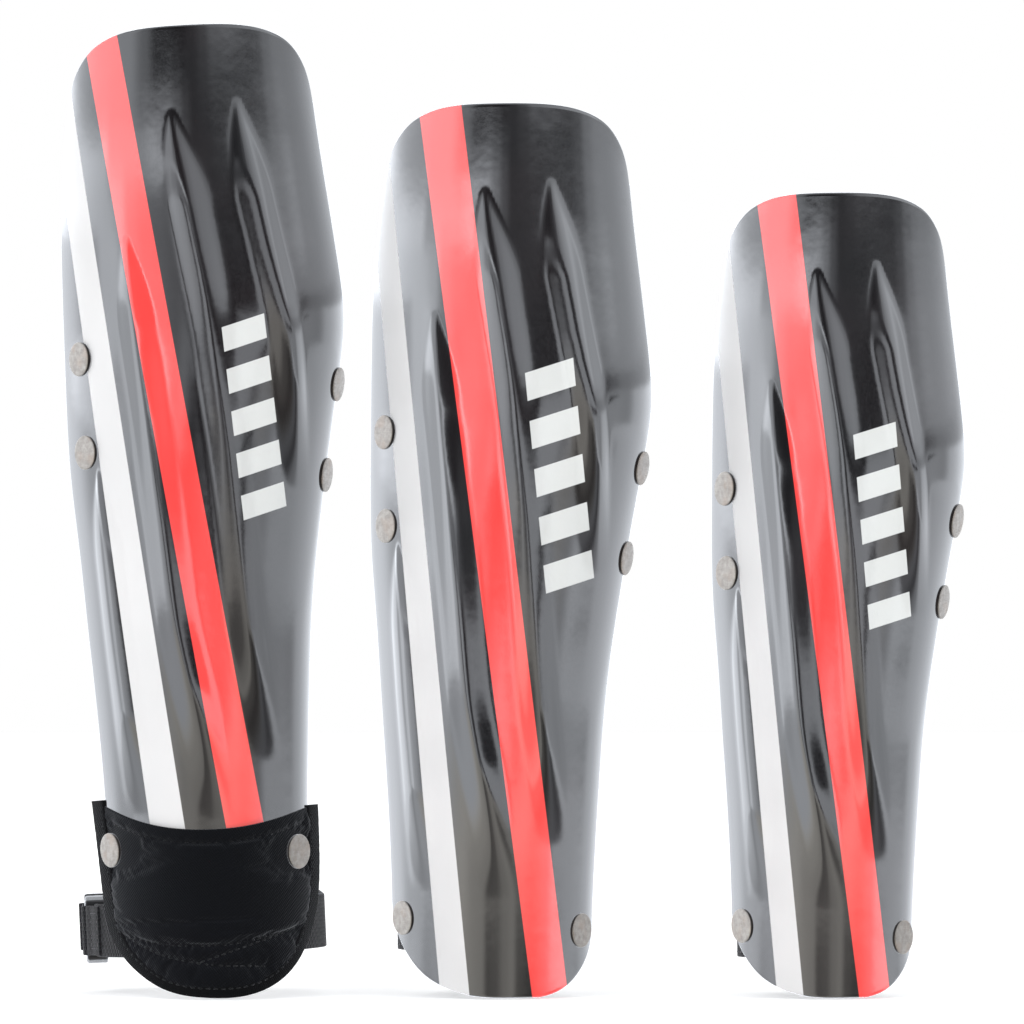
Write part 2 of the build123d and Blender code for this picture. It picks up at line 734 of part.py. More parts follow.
def boot_strap(label, path, side):
    """Extrudes a strap whose outer face follows path; side says which way the leg lies."""
    step = max(1, len(path) // 40)
    keep = list(range(0, len(path) - 1, step)) + [len(path) - 1]
    inner = offset_in(path, side, BAND_T)
    with BuildPart() as piece:
        with BuildSketch(Plane.XY.offset(STRAP_Z - WEB_H / 2)):
            with BuildLine():
                sheet_outline(
                    [tuple(map(float, path[i])) for i in keep],
                    [tuple(map(float, inner[i])) for i in keep],
                )
            make_face()
        extrude(amount=WEB_H)
    place(label, piece.solids())


left_path, right_path = boot_path(-1), boot_path(1)
# the left path is cut on its straight run for the buckle; its rear part joins the right path
cut_front = int(np.argmax(left_path[:, 1] > BOOT_BUCKLE_Y + TAIL - BUCKLE_CLEAR))
cut_rear = int(np.argmax(left_path[:, 1] > BOOT_BUCKLE_Y + PLUG_END + BUCKLE_CLEAR))
long_way = np.concatenate([right_path, left_path[cut_rear:-1][::-1]])
boot_strap("long_ankle_strap_left", left_path[:cut_front], -1)
boot_strap("long_ankle_strap_right", long_way, 1)
buckle_origin = (boot_x - BOOT_HALF_W + BAND_T / 2, BOOT_BUCKLE_Y, STRAP_Z)
buckle("long_ankle", Plane(origin=buckle_origin, x_dir=(0, 1, 0), z_dir=(0, 0, 1)))
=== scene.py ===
"""Looks of a race shin guard set: three guards standing side by side in a row along x.

Each guard has a painted shell, a padded liner, rivets and buckled straps. The long one also has a
soft boot flap. A guard's own frame is in millimetres, as in the CAD: x runs across the leg, -y is
the front, +y the open rear and z up. The row frame, in which meshes are made, is in metres.
"""

import math

import bpy
import numpy as np
from mathutils import Matrix, Vector


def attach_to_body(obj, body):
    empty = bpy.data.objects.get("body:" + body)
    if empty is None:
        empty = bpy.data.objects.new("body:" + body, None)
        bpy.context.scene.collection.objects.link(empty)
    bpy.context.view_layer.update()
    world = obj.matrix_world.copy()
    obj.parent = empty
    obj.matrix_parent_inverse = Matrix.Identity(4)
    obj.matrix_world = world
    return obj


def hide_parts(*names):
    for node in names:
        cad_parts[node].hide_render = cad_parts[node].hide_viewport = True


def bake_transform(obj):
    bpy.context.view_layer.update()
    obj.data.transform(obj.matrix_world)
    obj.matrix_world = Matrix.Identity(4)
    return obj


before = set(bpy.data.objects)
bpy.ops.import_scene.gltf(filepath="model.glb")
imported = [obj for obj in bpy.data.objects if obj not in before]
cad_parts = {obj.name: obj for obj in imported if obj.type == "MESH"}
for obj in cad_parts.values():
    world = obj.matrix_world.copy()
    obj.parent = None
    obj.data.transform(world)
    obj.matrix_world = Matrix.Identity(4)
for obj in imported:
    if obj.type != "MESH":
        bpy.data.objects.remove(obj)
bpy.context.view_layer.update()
R = math.radians

# ================================================================ driving sizes, mm and degrees
SHELL_H = 384.0
WALL = 2.4             # shell thickness
EDGE_ANGLE = 75.0      # shell's side edges, measured from the front
FRONT_Y = -60.0        # shell's front at half height
RIB_H = 3.0
LINER_GAP, LINER_T = 0.8, 5.5
LINER_ANGLE = 43.0     # widest half angle of the liner
BAND_T, BAND_GAP, BAND_H = 1.6, 0.5, 58.0
WEB_H = 22.0           # webbing width
STRAP_INSET = WALL + BAND_GAP
REAR = {"calf": 50.0, "ankle": 46.0}   # strap depth behind the shell's centre
PULL = 6.5             # how far the straps draw in behind the shell
TAIL, PLUG_END = -26.0, 23.5           # ends of a buckle along its strap
WEB_FROM, WEB_TO = TAIL - 1.0, PLUG_END + 1.0
HEAD_R = 7.4           # rivet head
FLAP_T, FLAP_GAP = 2.0, 0.6
FLAP_OUT = FLAP_GAP + FLAP_T
FLAP_BEND = 58.0       # angle beyond which the flap runs on straight
BIND_W, BIND_RISE = 5.0, 0.3
BOOT_Z, BOOT_BUCKLE_Y, BOOT_HALF = -3.9, 20.0, 50.0   # the long guard's ankle strap
FOOT_Y = 53.4          # a guard's place along y in the row

# x, z: place in the row; lean about y, then turn about z; band: half the calf band over BAND_H
GUARDS = {
    "long": dict(scale=1.0, x=-122.4, z=33.9, lean=-2.5, turn=3.0, band=0.5),
    "mid": dict(scale=1.0, x=0.0, z=0.0, lean=0.0, turn=0.0, band=0.5),
    "short": dict(scale=0.9, x=141.5, z=0.0, lean=0.0, turn=0.0, band=0.47),
}
SIDES = (("left", -1), ("right", 1))

# x of the shell's left and right edges at each height
EDGE_Z = [0, 25, 50, 75, 100, 125, 150, 165, 190, 215, 240, 254, 270, 300, 330, 360, 384]
LEFT_X = [-50, -50, -50.5, -51.5, -53, -54.8, -56.3, -57.3, -59.5, -60, -59.8, -59.7, -59.6,
          -59, -56.5, -53, -50]
RIGHT_X = [36, 36.2, 37.2, 38.6, 40.2, 42, 45, 47.4, 51.5, 56, 60.8, 63.3, 62, 58.5, 54.8,
           51.8, 50]

# line: (z, angle from the front) down each rib; it ends at top and fades in above low
RIBS = [
    dict(line=[(352, 19.5), (316, 24.0), (270, 29.2), (244, 34), (214, 41), (175, 50)],
         top=352, low=182, fade=50),
    dict(line=[(346, -10.5), (317, -4.5), (272, 0.6), (248, 2.4), (202, 11.6), (129, 22.1),
               (100, 28), (66, 34.5)],
         top=348, low=64, fade=60),
    dict(line=[(294, -31.5), (248, -27.5), (220, -22.5), (193, -19), (148, -14.5), (123, -12),
               (96, -5.5), (69, 0), (44, 3.5)],
         top=296, low=42, fade=60),
    dict(line=[(205, -50), (179, -48.5), (123, -46), (60, -42), (25, -39)],
         top=196, low=46, fade=45),
]
RIB_HALF, RIB_ROUND, RIB_SOFT, RIB_PEAK = 7.0, 2.2, 0.18, 2.016   # rib's cross-section

# shell outline seen from the front, (x, z)
TOP_LEFT = [(-54.2, 345), (-52.2, 358), (-48.0, 369), (-41.0, 377.0), (-30.0, 381.8),
            (-14, 383.7), (4, 384)]
TOP_RIGHT = [(4, 384), (20, 383.4), (32, 381.2), (42, 376.2), (48.2, 368.0), (51.3, 358),
             (52.6, 347)]
LOW_LEFT = [(-49.9, 38), (-47.6, 26.5), (-42.9, 17.0), (-34.7, 8.2), (-25.5, 3.6),
            (-16.3, 1.0), (-6.0, 0.0)]
LOW_RIGHT = [(14.0, 0.0), (21.5, 2.2), (28.6, 7.6), (33.6, 15.5), (35.8, 24), (36.2, 31)]

# rivet places seen from the front, (x, z)
RIVETS = {
    "calf_left": [(-52.3, 242.8), (-51.5, 202.5)],
    "calf_right": [(56.7, 227.6), (49.9, 188.7)],
    "ankle_left": [(-44.2, 33.9)],
    "ankle_right": [(30.5, 28.5)],
    "flap_left": [(-45.4, 31.3)],
    "flap_right": [(27.9, 27.4)],
}

# flap outline, (x, z): from the left top corner round the foot, then the top edge
FLAP_EDGE = [
    (-56.5, 52.3), (-54.8, 30), (-53.4, 10.4), (-50.2, -7.5), (-41.7, -20.1), (-29.2, -29.2),
    (-10.0, -33.4), (9.3, -32.6), (24.6, -25.1), (33.8, -12.7), (39.3, 4.3), (41.2, 25),
    (41.4, 46.7),
]
FLAP_TOP = [(-56.5, 52.3), (-43, 45.0), (-26, 39.8), (-9, 38.2), (10, 39.0), (27, 42.4),
            (41.4, 46.7)]


# ================================================================ numbers and curves
def ease(t):
    t = np.clip(t, 0.0, 1.0)
    return t * t * (3 - 2 * t)


def quarter_round(t):
    """Quarter circle rising from 0 at t = 0 to 1 at t = 1."""
    return np.sqrt(np.clip(1 - (1 - np.clip(t, 0, 1)) ** 2, 0, 1))


def unit(v):
    return v / np.maximum(np.linalg.norm(v, axis=-1, keepdims=True), 1e-9)


def run_of(points):
    """Length run along a path up to each of its points."""
    return np.concatenate([[0], np.cumsum(np.linalg.norm(np.diff(points, axis=0), axis=1))])


def sample(at, run, values):
    return np.stack([np.interp(at, run, column) for column in values.T], 1)


def left_normals(path):
    """Unit normals to the left of a plane path."""
    tangent = unit(np.gradient(path, axis=0))
    return np.stack([-tangent[:, 1], tangent[:, 0]], 1)


def table(heights, values, width=9.0):
    """Lookup by height: straight between stations, then blurred by a bell width mm wide."""
    grid = np.arange(-60.0, 460.0, 2.0)
    raw = np.interp(grid, heights, values)
    bell = np.exp(-0.5 * (np.arange(-30, 31) * 2.0 / width) ** 2)
    bell /= bell.sum()
    blurred = np.convolve(np.pad(raw, 30, mode="edge"), bell, mode="valid")
    return lambda z: np.interp(z, grid, blurred)


def spline(points, count=200):
    """Natural cubic curve through the points, evenly sampled by chord length."""
    p = np.array(points, float)
    run = run_of(p)
    last = len(p) - 1
    step = np.diff(run)
    system, rhs = np.zeros((last + 1, last + 1)), np.zeros(p.shape)
    system[0, 0] = system[-1, -1] = 1
    for i in range(1, last):
        system[i, i - 1:i + 2] = step[i - 1], 2 * (step[i - 1] + step[i]), step[i]
        rhs[i] = 6 * ((p[i + 1] - p[i]) / step[i] - (p[i] - p[i - 1]) / step[i - 1])
    bend = np.linalg.solve(system, rhs)
    at = np.linspace(0, run[-1], count)
    i = np.clip(np.searchsorted(run, at, "right") - 1, 0, last - 1)
    after, before, h = (run[i + 1] - at)[:, None], (at - run[i])[:, None], step[i][:, None]
    cubic = bend[i] * after**3 / (6 * h) + bend[i + 1] * before**3 / (6 * h)
    return (cubic + (p[i] / h - bend[i] * h / 6) * after
            + (p[i + 1] / h - bend[i + 1] * h / 6) * before)


# ================================================================ shell surface
left_x, right_x = table(EDGE_Z, LEFT_X), table(EDGE_Z, RIGHT_X)
rib_angle = [table(*zip(*entry["line"][::-1]), width=12.0) for entry in RIBS]


def shell_arc(z):
    """Radius and centre (x, y) of the shell's horizontal arc on a full-size guard."""
    z = np.asarray(z, float)
    left, right = left_x(z), right_x(z)
    radius = (right - left) / 2 / math.sin(R(EDGE_ANGLE))
    return radius, (left + right) / 2, FRONT_Y + 5.0 * ((z - 200.0) / 200.0) ** 2 + radius


def rib_rise(theta, z, radius):
    rise = np.zeros(np.broadcast(theta, z).shape)
    for entry, angle in zip(RIBS, rib_angle):
        fade = ease((z - entry["low"]) / entry["fade"])
        tip = np.clip((entry["top"] + 1.0 - z) / 44.0, 0.0, 1.0)
        tip = np.maximum(np.sin(0.5 * np.pi * tip), 0.02)
        across = np.radians(theta - angle(z)) * radius / tip
        flank = 1.0 - (np.hypot(across, RIB_ROUND) - RIB_ROUND) / RIB_HALF
        ridge = (flank + np.hypot(flank, RIB_SOFT)) / RIB_PEAK
        rise = rise + fade * RIB_H * tip * ridge * ease(tip * 6.0 - 0.12)
    return rise


def skin(theta, z, offset=0.0, scale=1.0, ribs=True):
    """Points on the shell's outside, moved out by offset. theta is 0 at the front, + to the right."""
    theta, z = np.broadcast_arrays(np.asarray(theta, float), np.asarray(z, float))
    radius, centre_x, centre_y = shell_arc(z / scale)
    rise = rib_rise(theta, z / scale, radius) * scale if ribs else 0.0
    t = np.radians(theta)
    r = radius * scale + rise + offset
    return np.stack([centre_x * scale + r * np.sin(t), centre_y * scale - r * np.cos(t), z], -1)


def angle_of(x, z):
    """Angle of a front-view point on a full-size shell."""
    radius, centre_x, _ = shell_arc(z)
    return np.degrees(np.arcsin(np.clip((x - centre_x) / radius, -1, 1)))


def rivet_frames(scale, group):
    """Origin, two tangents and the outward normal at each rivet of a group."""
    frames, step = [], 0.5
    for x, full_z in RIVETS[group]:
        theta, z = angle_of(x, full_z), full_z * scale

        def plain(dtheta, dz):
            return skin(theta + dtheta, z + dz, 0, scale, ribs=False)

        across = plain(step, 0) - plain(-step, 0)
        normal = unit(np.cross(across, plain(0, step) - plain(0, -step)))
        across = unit(across)
        frames.append((plain(0, 0), across, np.cross(normal, across), normal))
    return frames


def world_matrix(guard):
    place = GUARDS[guard]
    return (Matrix.Translation((place["x"], FOOT_Y * place["scale"], place["z"]))
            @ Matrix.Rotation(R(place["lean"]), 4, "Y")
            @ Matrix.Rotation(R(place["turn"]), 4, "Z"))


def to_world(guard, points):
    """Guard-frame millimetres to row-frame metres."""
    m = np.array(world_matrix(guard))
    return (np.asarray(points, float) @ m[:3, :3].T + m[:3, 3]) / 1000.0


# ================================================================ meshes
def make(name, verts, faces, mats, face_mat=None, attrs=None, smooth=True):
    """Mesh object from row-frame metres. attrs: name to per-vertex floats."""
    mesh = bpy.data.meshes.new(name)
    mesh.from_pydata([tuple(map(float, v)) for v in verts], [],
                     [tuple(map(int, f)) for f in faces])
    for mat in mats if isinstance(mats, list) else [mats]:
        mesh.materials.append(mat)
    if face_mat is not None:
        mesh.polygons.foreach_set("material_index", np.asarray(face_mat, np.int32))
    if smooth:
        mesh.polygons.foreach_set("use_smooth", [True] * len(mesh.polygons))
    for key, values in (attrs or {}).items():
        attribute = mesh.attributes.new(key, "FLOAT", "POINT")
        attribute.data.foreach_set("value", np.asarray(values, np.float32).ravel())
    mesh.update()
    ob = bpy.data.objects.new(name, mesh)
    bpy.context.scene.collection.objects.link(ob)
    ob.visible_glossy = False
    return ob


def quads(index):
    """Faces of a grid of vertex numbers."""
    corners = [index[:-1, :-1], index[:-1, 1:], index[1:, 1:], index[1:, :-1]]
    return np.stack(corners, -1).reshape(-1, 4)


def wrapped_quads(index):
    """Faces of a grid whose last column joins its first."""
    return quads(np.concatenate([index, index[:, :1]], 1))


def rim_cells(rows, cols):
    """Row and column numbers once round the border of a grid."""
    cells = [(0, c) for c in range(cols)] + [(r, cols - 1) for r in range(1, rows)]
    cells += [(rows - 1, c) for c in range(cols - 2, -1, -1)]
    cells += [(r, 0) for r in range(rows - 2, 0, -1)]
    return np.array(cells).T


def slab(outer, inner, bulge, arc=4):
    """Closed sheet between two equal grids (rows, cols, 3), its rim rounded by bulge mm.

    Returns verts, faces, a zone per face (0 outer, 1 rim, 2 inner) and the number of outer verts.
    """
    rows, cols = outer.shape[:2]
    count = rows * cols
    index = np.arange(count).reshape(rows, cols)
    sheet = quads(index)
    verts = [outer.reshape(-1, 3), inner.reshape(-1, 3)]
    faces = [sheet, sheet[:, ::-1] + count]
    zone = [np.zeros(len(sheet), int), np.full(len(sheet), 2)]

    r, c = rim_cells(rows, cols)
    near = np.clip(r, 1, rows - 2), np.clip(c, 1, cols - 2)
    middle = (outer[r, c] + inner[r, c]) / 2
    through = unit(outer[r, c] - inner[r, c])
    out = middle - (outer[near] + inner[near]) / 2
    out = unit(out - (out * through).sum(1)[:, None] * through)
    for _ in range(3):
        out = 0.25 * np.roll(out, 1, 0) + 0.5 * out + 0.25 * np.roll(out, -1, 0)
    out = unit(out)

    rings, base = [index[r, c]], 2 * count
    for s in range(1, arc):
        f = math.pi * s / arc
        verts.append(middle + (outer[r, c] - middle) * math.cos(f) + out * bulge * math.sin(f))
        rings.append(base + np.arange(len(r)))
        base += len(r)
    rings.append(index[r, c] + count)
    for a, b in zip(rings[:-1], rings[1:]):
        faces.append(np.stack([a, b, np.roll(b, -1), np.roll(a, -1)], -1))
        zone.append(np.ones(len(r), int))
    return np.concatenate(verts), np.concatenate(faces), np.concatenate(zone), count


def sheet_object(name, guard, outer, inner, across, along, mat, bulge=0.5):
    """Cloth slab; across and along are the weave lengths in mm at each grid point."""
    verts, faces, _, count = slab(outer, inner, bulge)
    r, c = rim_cells(*outer.shape[:2])
    rings = (len(verts) - 2 * count) // len(r)

    def spread(grid):
        return np.concatenate([grid.ravel(), grid.ravel(), np.tile(grid[r, c], rings)]) / 1000

    attrs = dict(wu=spread(across), wv=spread(along))
    return make(name, to_world(guard, verts), faces, mat, None, attrs)


def ribbon_mesh(path, width, thick, normals):
    """Flat ribbon with rounded edges along a path; normals point out of its face."""
    tangent = unit(np.gradient(path, axis=0))
    across = unit(np.cross(tangent, normals))
    up = np.cross(across, tangent)
    r = thick / 2
    half = width / 2 - r
    profile = []
    for side in (1, -1):
        for a in np.linspace(-90, 90, 7):
            a = R(a if side > 0 else a + 180)
            profile.append((side * half + r * math.cos(a), r * math.sin(a)))
        profile += [(s, side * r) for s in np.linspace(side * half, -side * half, 9)[1:-1]]
    profile = np.array(profile)
    verts = (path[:, None, :] + profile[None, :, 0, None] * across[:, None, :]
             + profile[None, :, 1, None] * up[:, None, :])
    index = np.arange(len(path) * len(profile)).reshape(len(path), len(profile))
    return verts.reshape(-1, 3), [*wrapped_quads(index), index[0][::-1], index[-1]]


def lathe(profile, frames, segs=56):
    """Profile (radius, height) turned about each frame's normal."""
    verts, faces = [], []
    for origin, across, up, normal in frames:
        previous = None
        for r, h in profile:
            at = len(verts)
            if r < 1e-6:
                verts.append(origin + normal * h)
                ring = [at] * segs
            else:
                for s in range(segs):
                    a = 2 * math.pi * s / segs
                    spoke = across * math.cos(a) + up * math.sin(a)
                    verts.append(origin + spoke * r + normal * h)
                ring = list(range(at, at + segs))
            if previous is not None:
                for s in range(segs):
                    t = (s + 1) % segs
                    face = list(dict.fromkeys([previous[s], previous[t], ring[t], ring[s]]))
                    if len(face) > 2:
                        faces.append(face)
            previous = ring
    return np.array(verts), faces


# one stitch, end to end: place along it, girth and rise, the last two in thread radii
STITCH_AT = np.array([0.0, 0.12, 0.35, 0.65, 0.88, 1.0])
STITCH_GIRTH = np.array([0.35, 0.8, 1.0, 1.0, 0.8, 0.35])
STITCH_RISE = np.array([-0.7, 0.1, 0.35, 0.35, 0.1, -0.7])
STITCH_SIDES = 8

# stitch sizes in mm
PAD_STITCH = dict(length=2.6, gap=1.2, radius=0.3)
BAND_STITCH = dict(length=2.0, gap=1.0, radius=0.2, lift=0.02)
FOLD_STITCH = dict(length=1.7, gap=0.7, radius=0.24)
QUILT_STITCH = dict(length=2.2, gap=1.0, radius=0.3)
BINDING_STITCH = dict(length=2.2, gap=1.1, radius=0.28)


def stitches(points, normals, length, gap, radius, lift=0.0):
    """Thread stitches laid along a path: small capsules. Returns verts, faces."""
    run = run_of(points)
    turn = 2 * math.pi * np.arange(STITCH_SIDES) / STITCH_SIDES
    cos, sin = np.cos(turn)[None, :, None], np.sin(turn)[None, :, None]
    rings = len(STITCH_AT)
    index = np.arange(rings * STITCH_SIDES).reshape(rings, STITCH_SIDES)
    verts, faces, base = [], [], 0
    start = gap
    while start + length < run[-1]:
        at = start + length * STITCH_AT
        normal = unit(sample(at, run, normals))
        centre = sample(at, run, points) + normal * (lift + radius * STITCH_RISE)[:, None]
        along = unit(centre[-1] - centre[0])
        across = unit(np.cross(along, normal))
        up = np.cross(across, along)
        spokes = across[:, None] * cos + up[:, None] * sin
        verts.append(centre[:, None] + spokes * (STITCH_GIRTH * radius)[:, None, None])
        own = index + base
        faces += [*wrapped_quads(own), own[0][::-1], own[-1]]
        base += index.size
        start += length + gap
    return np.array(verts).reshape(-1, 3), faces


def merge(parts):
    verts, faces, base = [], [], 0
    for part_verts, part_faces in parts:
        verts.append(part_verts)
        faces += [[i + base for i in face] for face in part_faces]
        base += len(part_verts)
    return np.concatenate(verts), faces


def thread_object(name, guard, parts, mat):
    verts, faces = merge(parts)
    return make(name, to_world(guard, verts), faces, mat)


# ================================================================ shader helpers
class Sock:
    """A node output that can be used in arithmetic."""

    def __init__(self, net, out):
        self.net, self.out = net, out

    def __add__(self, other):
        return self.net.math("ADD", self, other)

    def __sub__(self, other):
        return self.net.math("SUBTRACT", self, other)

    def __rsub__(self, other):
        return self.net.math("SUBTRACT", other, self)

    def __mul__(self, other):
        return self.net.math("MULTIPLY", self, other)

    def __truediv__(self, other):
        return self.net.math("DIVIDE", self, other)


class Net:
    """Fills one node tree."""

    def __init__(self, tree):
        self.tree = tree
        self.coords = None
        tree.nodes.clear()

    def put(self, socket, value):
        if isinstance(value, Sock):
            value = value.out
        if isinstance(value, bpy.types.NodeSocket):
            self.tree.links.new(value, socket)
        else:
            if socket.type == "RGBA" and len(value) == 3:
                value = (*value, 1.0)
            socket.default_value = value

    def node(self, kind, props=None, **inputs):
        """New node; an underscore in an input's keyword stands for a space."""
        node = self.tree.nodes.new(kind)
        for key, value in (props or {}).items():
            setattr(node, key, value)
        for key, value in inputs.items():
            self.put(node.inputs[key.replace("_", " ")], value)
        return node

    def math(self, operation, *args):
        node = self.node("ShaderNodeMath", dict(operation=operation))
        for socket, value in zip(node.inputs, args):
            self.put(socket, value)
        return Sock(self, node.outputs[0])

    def wave(self, phase):
        """Sine between 0 and 1."""
        return self.math("SINE", phase) * 0.5 + 0.5

    def ramp(self, value, start, end, low=0.0, high=1.0):
        """Smooth step from low at start to high at end."""
        node = self.node("ShaderNodeMapRange", dict(interpolation_type="SMOOTHSTEP"),
                         Value=value, From_Min=start, From_Max=end, To_Min=low, To_Max=high)
        return Sock(self, node.outputs[0])

    def mix(self, factor, first, second):
        node = self.node("ShaderNodeMix", dict(data_type="RGBA"))
        for socket, value in ((0, factor), (6, first), (7, second)):
            self.put(node.inputs[socket], value)
        return node.outputs[2]

    def tone(self, source, start, end, dark, light):
        """Colour that goes from dark to light as source goes from start to end."""
        return self.mix(self.ramp(source, start, end), dark, light)

    def overlay(self, base, source, start, end, share, colour):
        """Up to a share of colour laid over base as source goes from start to end."""
        return self.mix(self.ramp(source, start, end) * share, base, colour)

    def attr(self, name):
        node = self.node("ShaderNodeAttribute", dict(attribute_name=name))
        return Sock(self, node.outputs["Fac"])

    def noise(self, scale, detail, rough=0.5, stretch=None):
        """Noise over object coordinates."""
        if self.coords is None:
            self.coords = self.node("ShaderNodeTexCoord").outputs["Object"]
        vector = self.coords
        if stretch is not None:
            vector = self.node("ShaderNodeMapping", Scale=stretch, Vector=vector).outputs[0]
        node = self.node("ShaderNodeTexNoise", Vector=vector, Scale=scale, Detail=detail,
                         Roughness=rough)
        return Sock(self, node.outputs[0])

    def bump(self, height, strength, distance):
        return self.node("ShaderNodeBump", Strength=strength, Distance=distance,
                         Height=height).outputs[0]

    def surface(self, **inputs):
        """Principled surface; closes the tree and returns nothing."""
        shader = self.node("ShaderNodeBsdfPrincipled", **inputs)
        output = self.node("ShaderNodeOutputMaterial")
        self.tree.links.new(shader.outputs[0], output.inputs["Surface"])


def material(name):
    mat = bpy.data.materials.new(name)
    mat.use_nodes = True
    return mat, Net(mat.node_tree)


def shades(tint, factor):
    return tuple(c * factor for c in tint)


# ---------------------------------------------------------------- shell
BARS_LENGTH = 102.8    # mm along the row of slanted bars


def stripe_masks(net):
    """Masks of the red stripe, the white stripe and the five slanted bars; lengths in metres."""
    red, white = net.attr("red"), net.attr("white")
    bar_u, bar_v = net.attr("bar_u"), net.attr("bar_v")
    outside = net.attr("outside")
    blur = 0.00018
    length = BARS_LENGTH / 1000
    red = net.ramp(red, start=blur, end=-blur) * outside
    white = net.ramp(white, start=blur, end=-blur) * outside
    slant, pitch = 0.22, 0.0206
    v = bar_v + bar_u * slant
    cell = net.math("FRACT", v / pitch)
    bars = net.ramp(cell, start=0.0, end=0.018) * net.ramp(cell, start=0.60, end=0.582)
    bars = bars * net.ramp(v, start=0.0, end=0.0003)
    bars = bars * net.ramp(v, start=length, end=length - 0.0003)
    width = net.ramp(net.math("ABSOLUTE", bar_u), start=0.0107, end=0.0104)
    return red, white, bars * width * outside


def shell_gloss(ior, upright=0.0):
    """Painted gloss; upright turns the shading normal about y, in radians."""
    mat, net = material("shell_gloss")
    peel = net.noise(scale=95.0, detail=2.0)
    fine = net.noise(scale=900.0, detail=2.0, rough=0.6)
    dust = net.noise(scale=2600.0, detail=1.0)
    red, white, bars = stripe_masks(net)
    ink = net.tone(net.noise(scale=14.0, detail=3.0), start=0.35, end=0.7,
                   dark=(0.0042, 0.0040, 0.0048), light=(0.0105, 0.0078, 0.0090))
    red_paint = net.tone(net.noise(scale=30.0, detail=2.0), start=0.3, end=0.7,
                         dark=(0.93, 0.060, 0.055), light=(0.96, 0.072, 0.066))
    white_paint = net.tone(net.noise(scale=26.0, detail=2.0), start=0.3, end=0.7,
                           dark=(0.69, 0.69, 0.695), light=(0.725, 0.725, 0.73))
    bar_paint = (0.66, 0.68, 0.67)
    base = net.mix(red, ink, red_paint)
    base = net.mix(white, base, white_paint)
    base = net.mix(bars, base, bar_paint)
    rough = net.ramp(fine, start=0.2, end=0.8, low=0.065, high=0.095)
    rough = rough + net.ramp(dust, start=0.72, end=0.8) * 0.08
    normal = net.bump(peel + fine * 0.05, strength=0.03, distance=0.0009)
    if upright:
        normal = net.node("ShaderNodeVectorRotate", dict(rotation_type="Y_AXIS"),
                          Vector=normal, Angle=upright).outputs[0]
    # the pale paints reflect less than the ink
    level = 0.5 - white * 0.44 - bars * 0.33
    net.surface(Base_Color=base, Roughness=rough, Normal=normal, IOR=ior,
                Specular_IOR_Level=level)
    return mat


def shell_back():
    mat, net = material("shell_back")
    peel = net.noise(scale=95.0, detail=2.0)
    fine = net.noise(scale=900.0, detail=2.0, rough=0.6)
    base = net.tone(peel, start=0.35, end=0.7, dark=(0.012, 0.012, 0.013),
                    light=(0.020, 0.020, 0.021))
    net.surface(Base_Color=base,
                Roughness=net.ramp(fine, start=0.3, end=0.7, low=0.42, high=0.55),
                Normal=net.bump(fine + peel * 2.0, strength=0.25, distance=0.0006),
                Specular_IOR_Level=0.18)
    return mat


# ---------------------------------------------------------------- metal, plastic, fabric
def nickel():
    mat, net = material("rivet_nickel")
    blot = net.noise(scale=420.0, detail=4.0, rough=0.65)
    brush = net.noise(scale=260.0, detail=3.0, rough=0.6, stretch=(1.0, 1.0, 14.0))
    pits = net.noise(scale=2300.0, detail=2.0, rough=0.6)
    tarnish = net.noise(scale=150.0, detail=2.0)
    # painted shade: the head's side wall and shank get a near-black colour for the shadow under the
    # proud head
    painted_wall_shade = (0.012, 0.010, 0.009)
    base = net.tone(blot, start=0.30, end=0.72, dark=(0.165, 0.150, 0.135),
                    light=(0.235, 0.220, 0.200))
    base = net.overlay(base, tarnish, start=0.45, end=0.7, share=0.5,
                       colour=(0.21, 0.17, 0.14))
    base = net.overlay(base, pits, start=0.64, end=0.76, share=0.4,
                       colour=(0.07, 0.055, 0.045))
    # painted shade laid on the head's side wall
    base = net.mix(net.attr("wall_shade_mask"), base, painted_wall_shade)
    relief = blot + brush * 0.6 + pits * 0.25
    net.surface(Base_Color=base,
                Roughness=net.ramp(brush, start=0.25, end=0.75, low=0.42, high=0.6),
                Normal=net.bump(relief, strength=0.10, distance=0.00018),
                Metallic=0.85, Specular_IOR_Level=0.1)
    return mat


def moulded():
    mat, net = material("buckle_acetal")
    grain = net.noise(scale=2400.0, detail=2.0)
    haze = net.noise(scale=60.0, detail=3.0, rough=0.6)
    # pointiness picks out the convex edges for a painted highlight
    corner = Sock(net, net.node("ShaderNodeNewGeometry").outputs["Pointiness"])
    base = net.tone(haze, start=0.3, end=0.7, dark=(0.011, 0.011, 0.012),
                    light=(0.019, 0.019, 0.020))
    # painted highlight: convex edges are coloured lighter
    base = net.overlay(base, corner, start=0.52, end=0.60, share=0.5,
                       colour=(0.06, 0.06, 0.062))
    net.surface(Base_Color=base,
                Roughness=net.ramp(grain, start=0.3, end=0.7, low=0.34, high=0.46),
                Normal=net.bump(grain, strength=0.25, distance=0.00012),
                Specular_IOR_Level=0.16)
    return mat


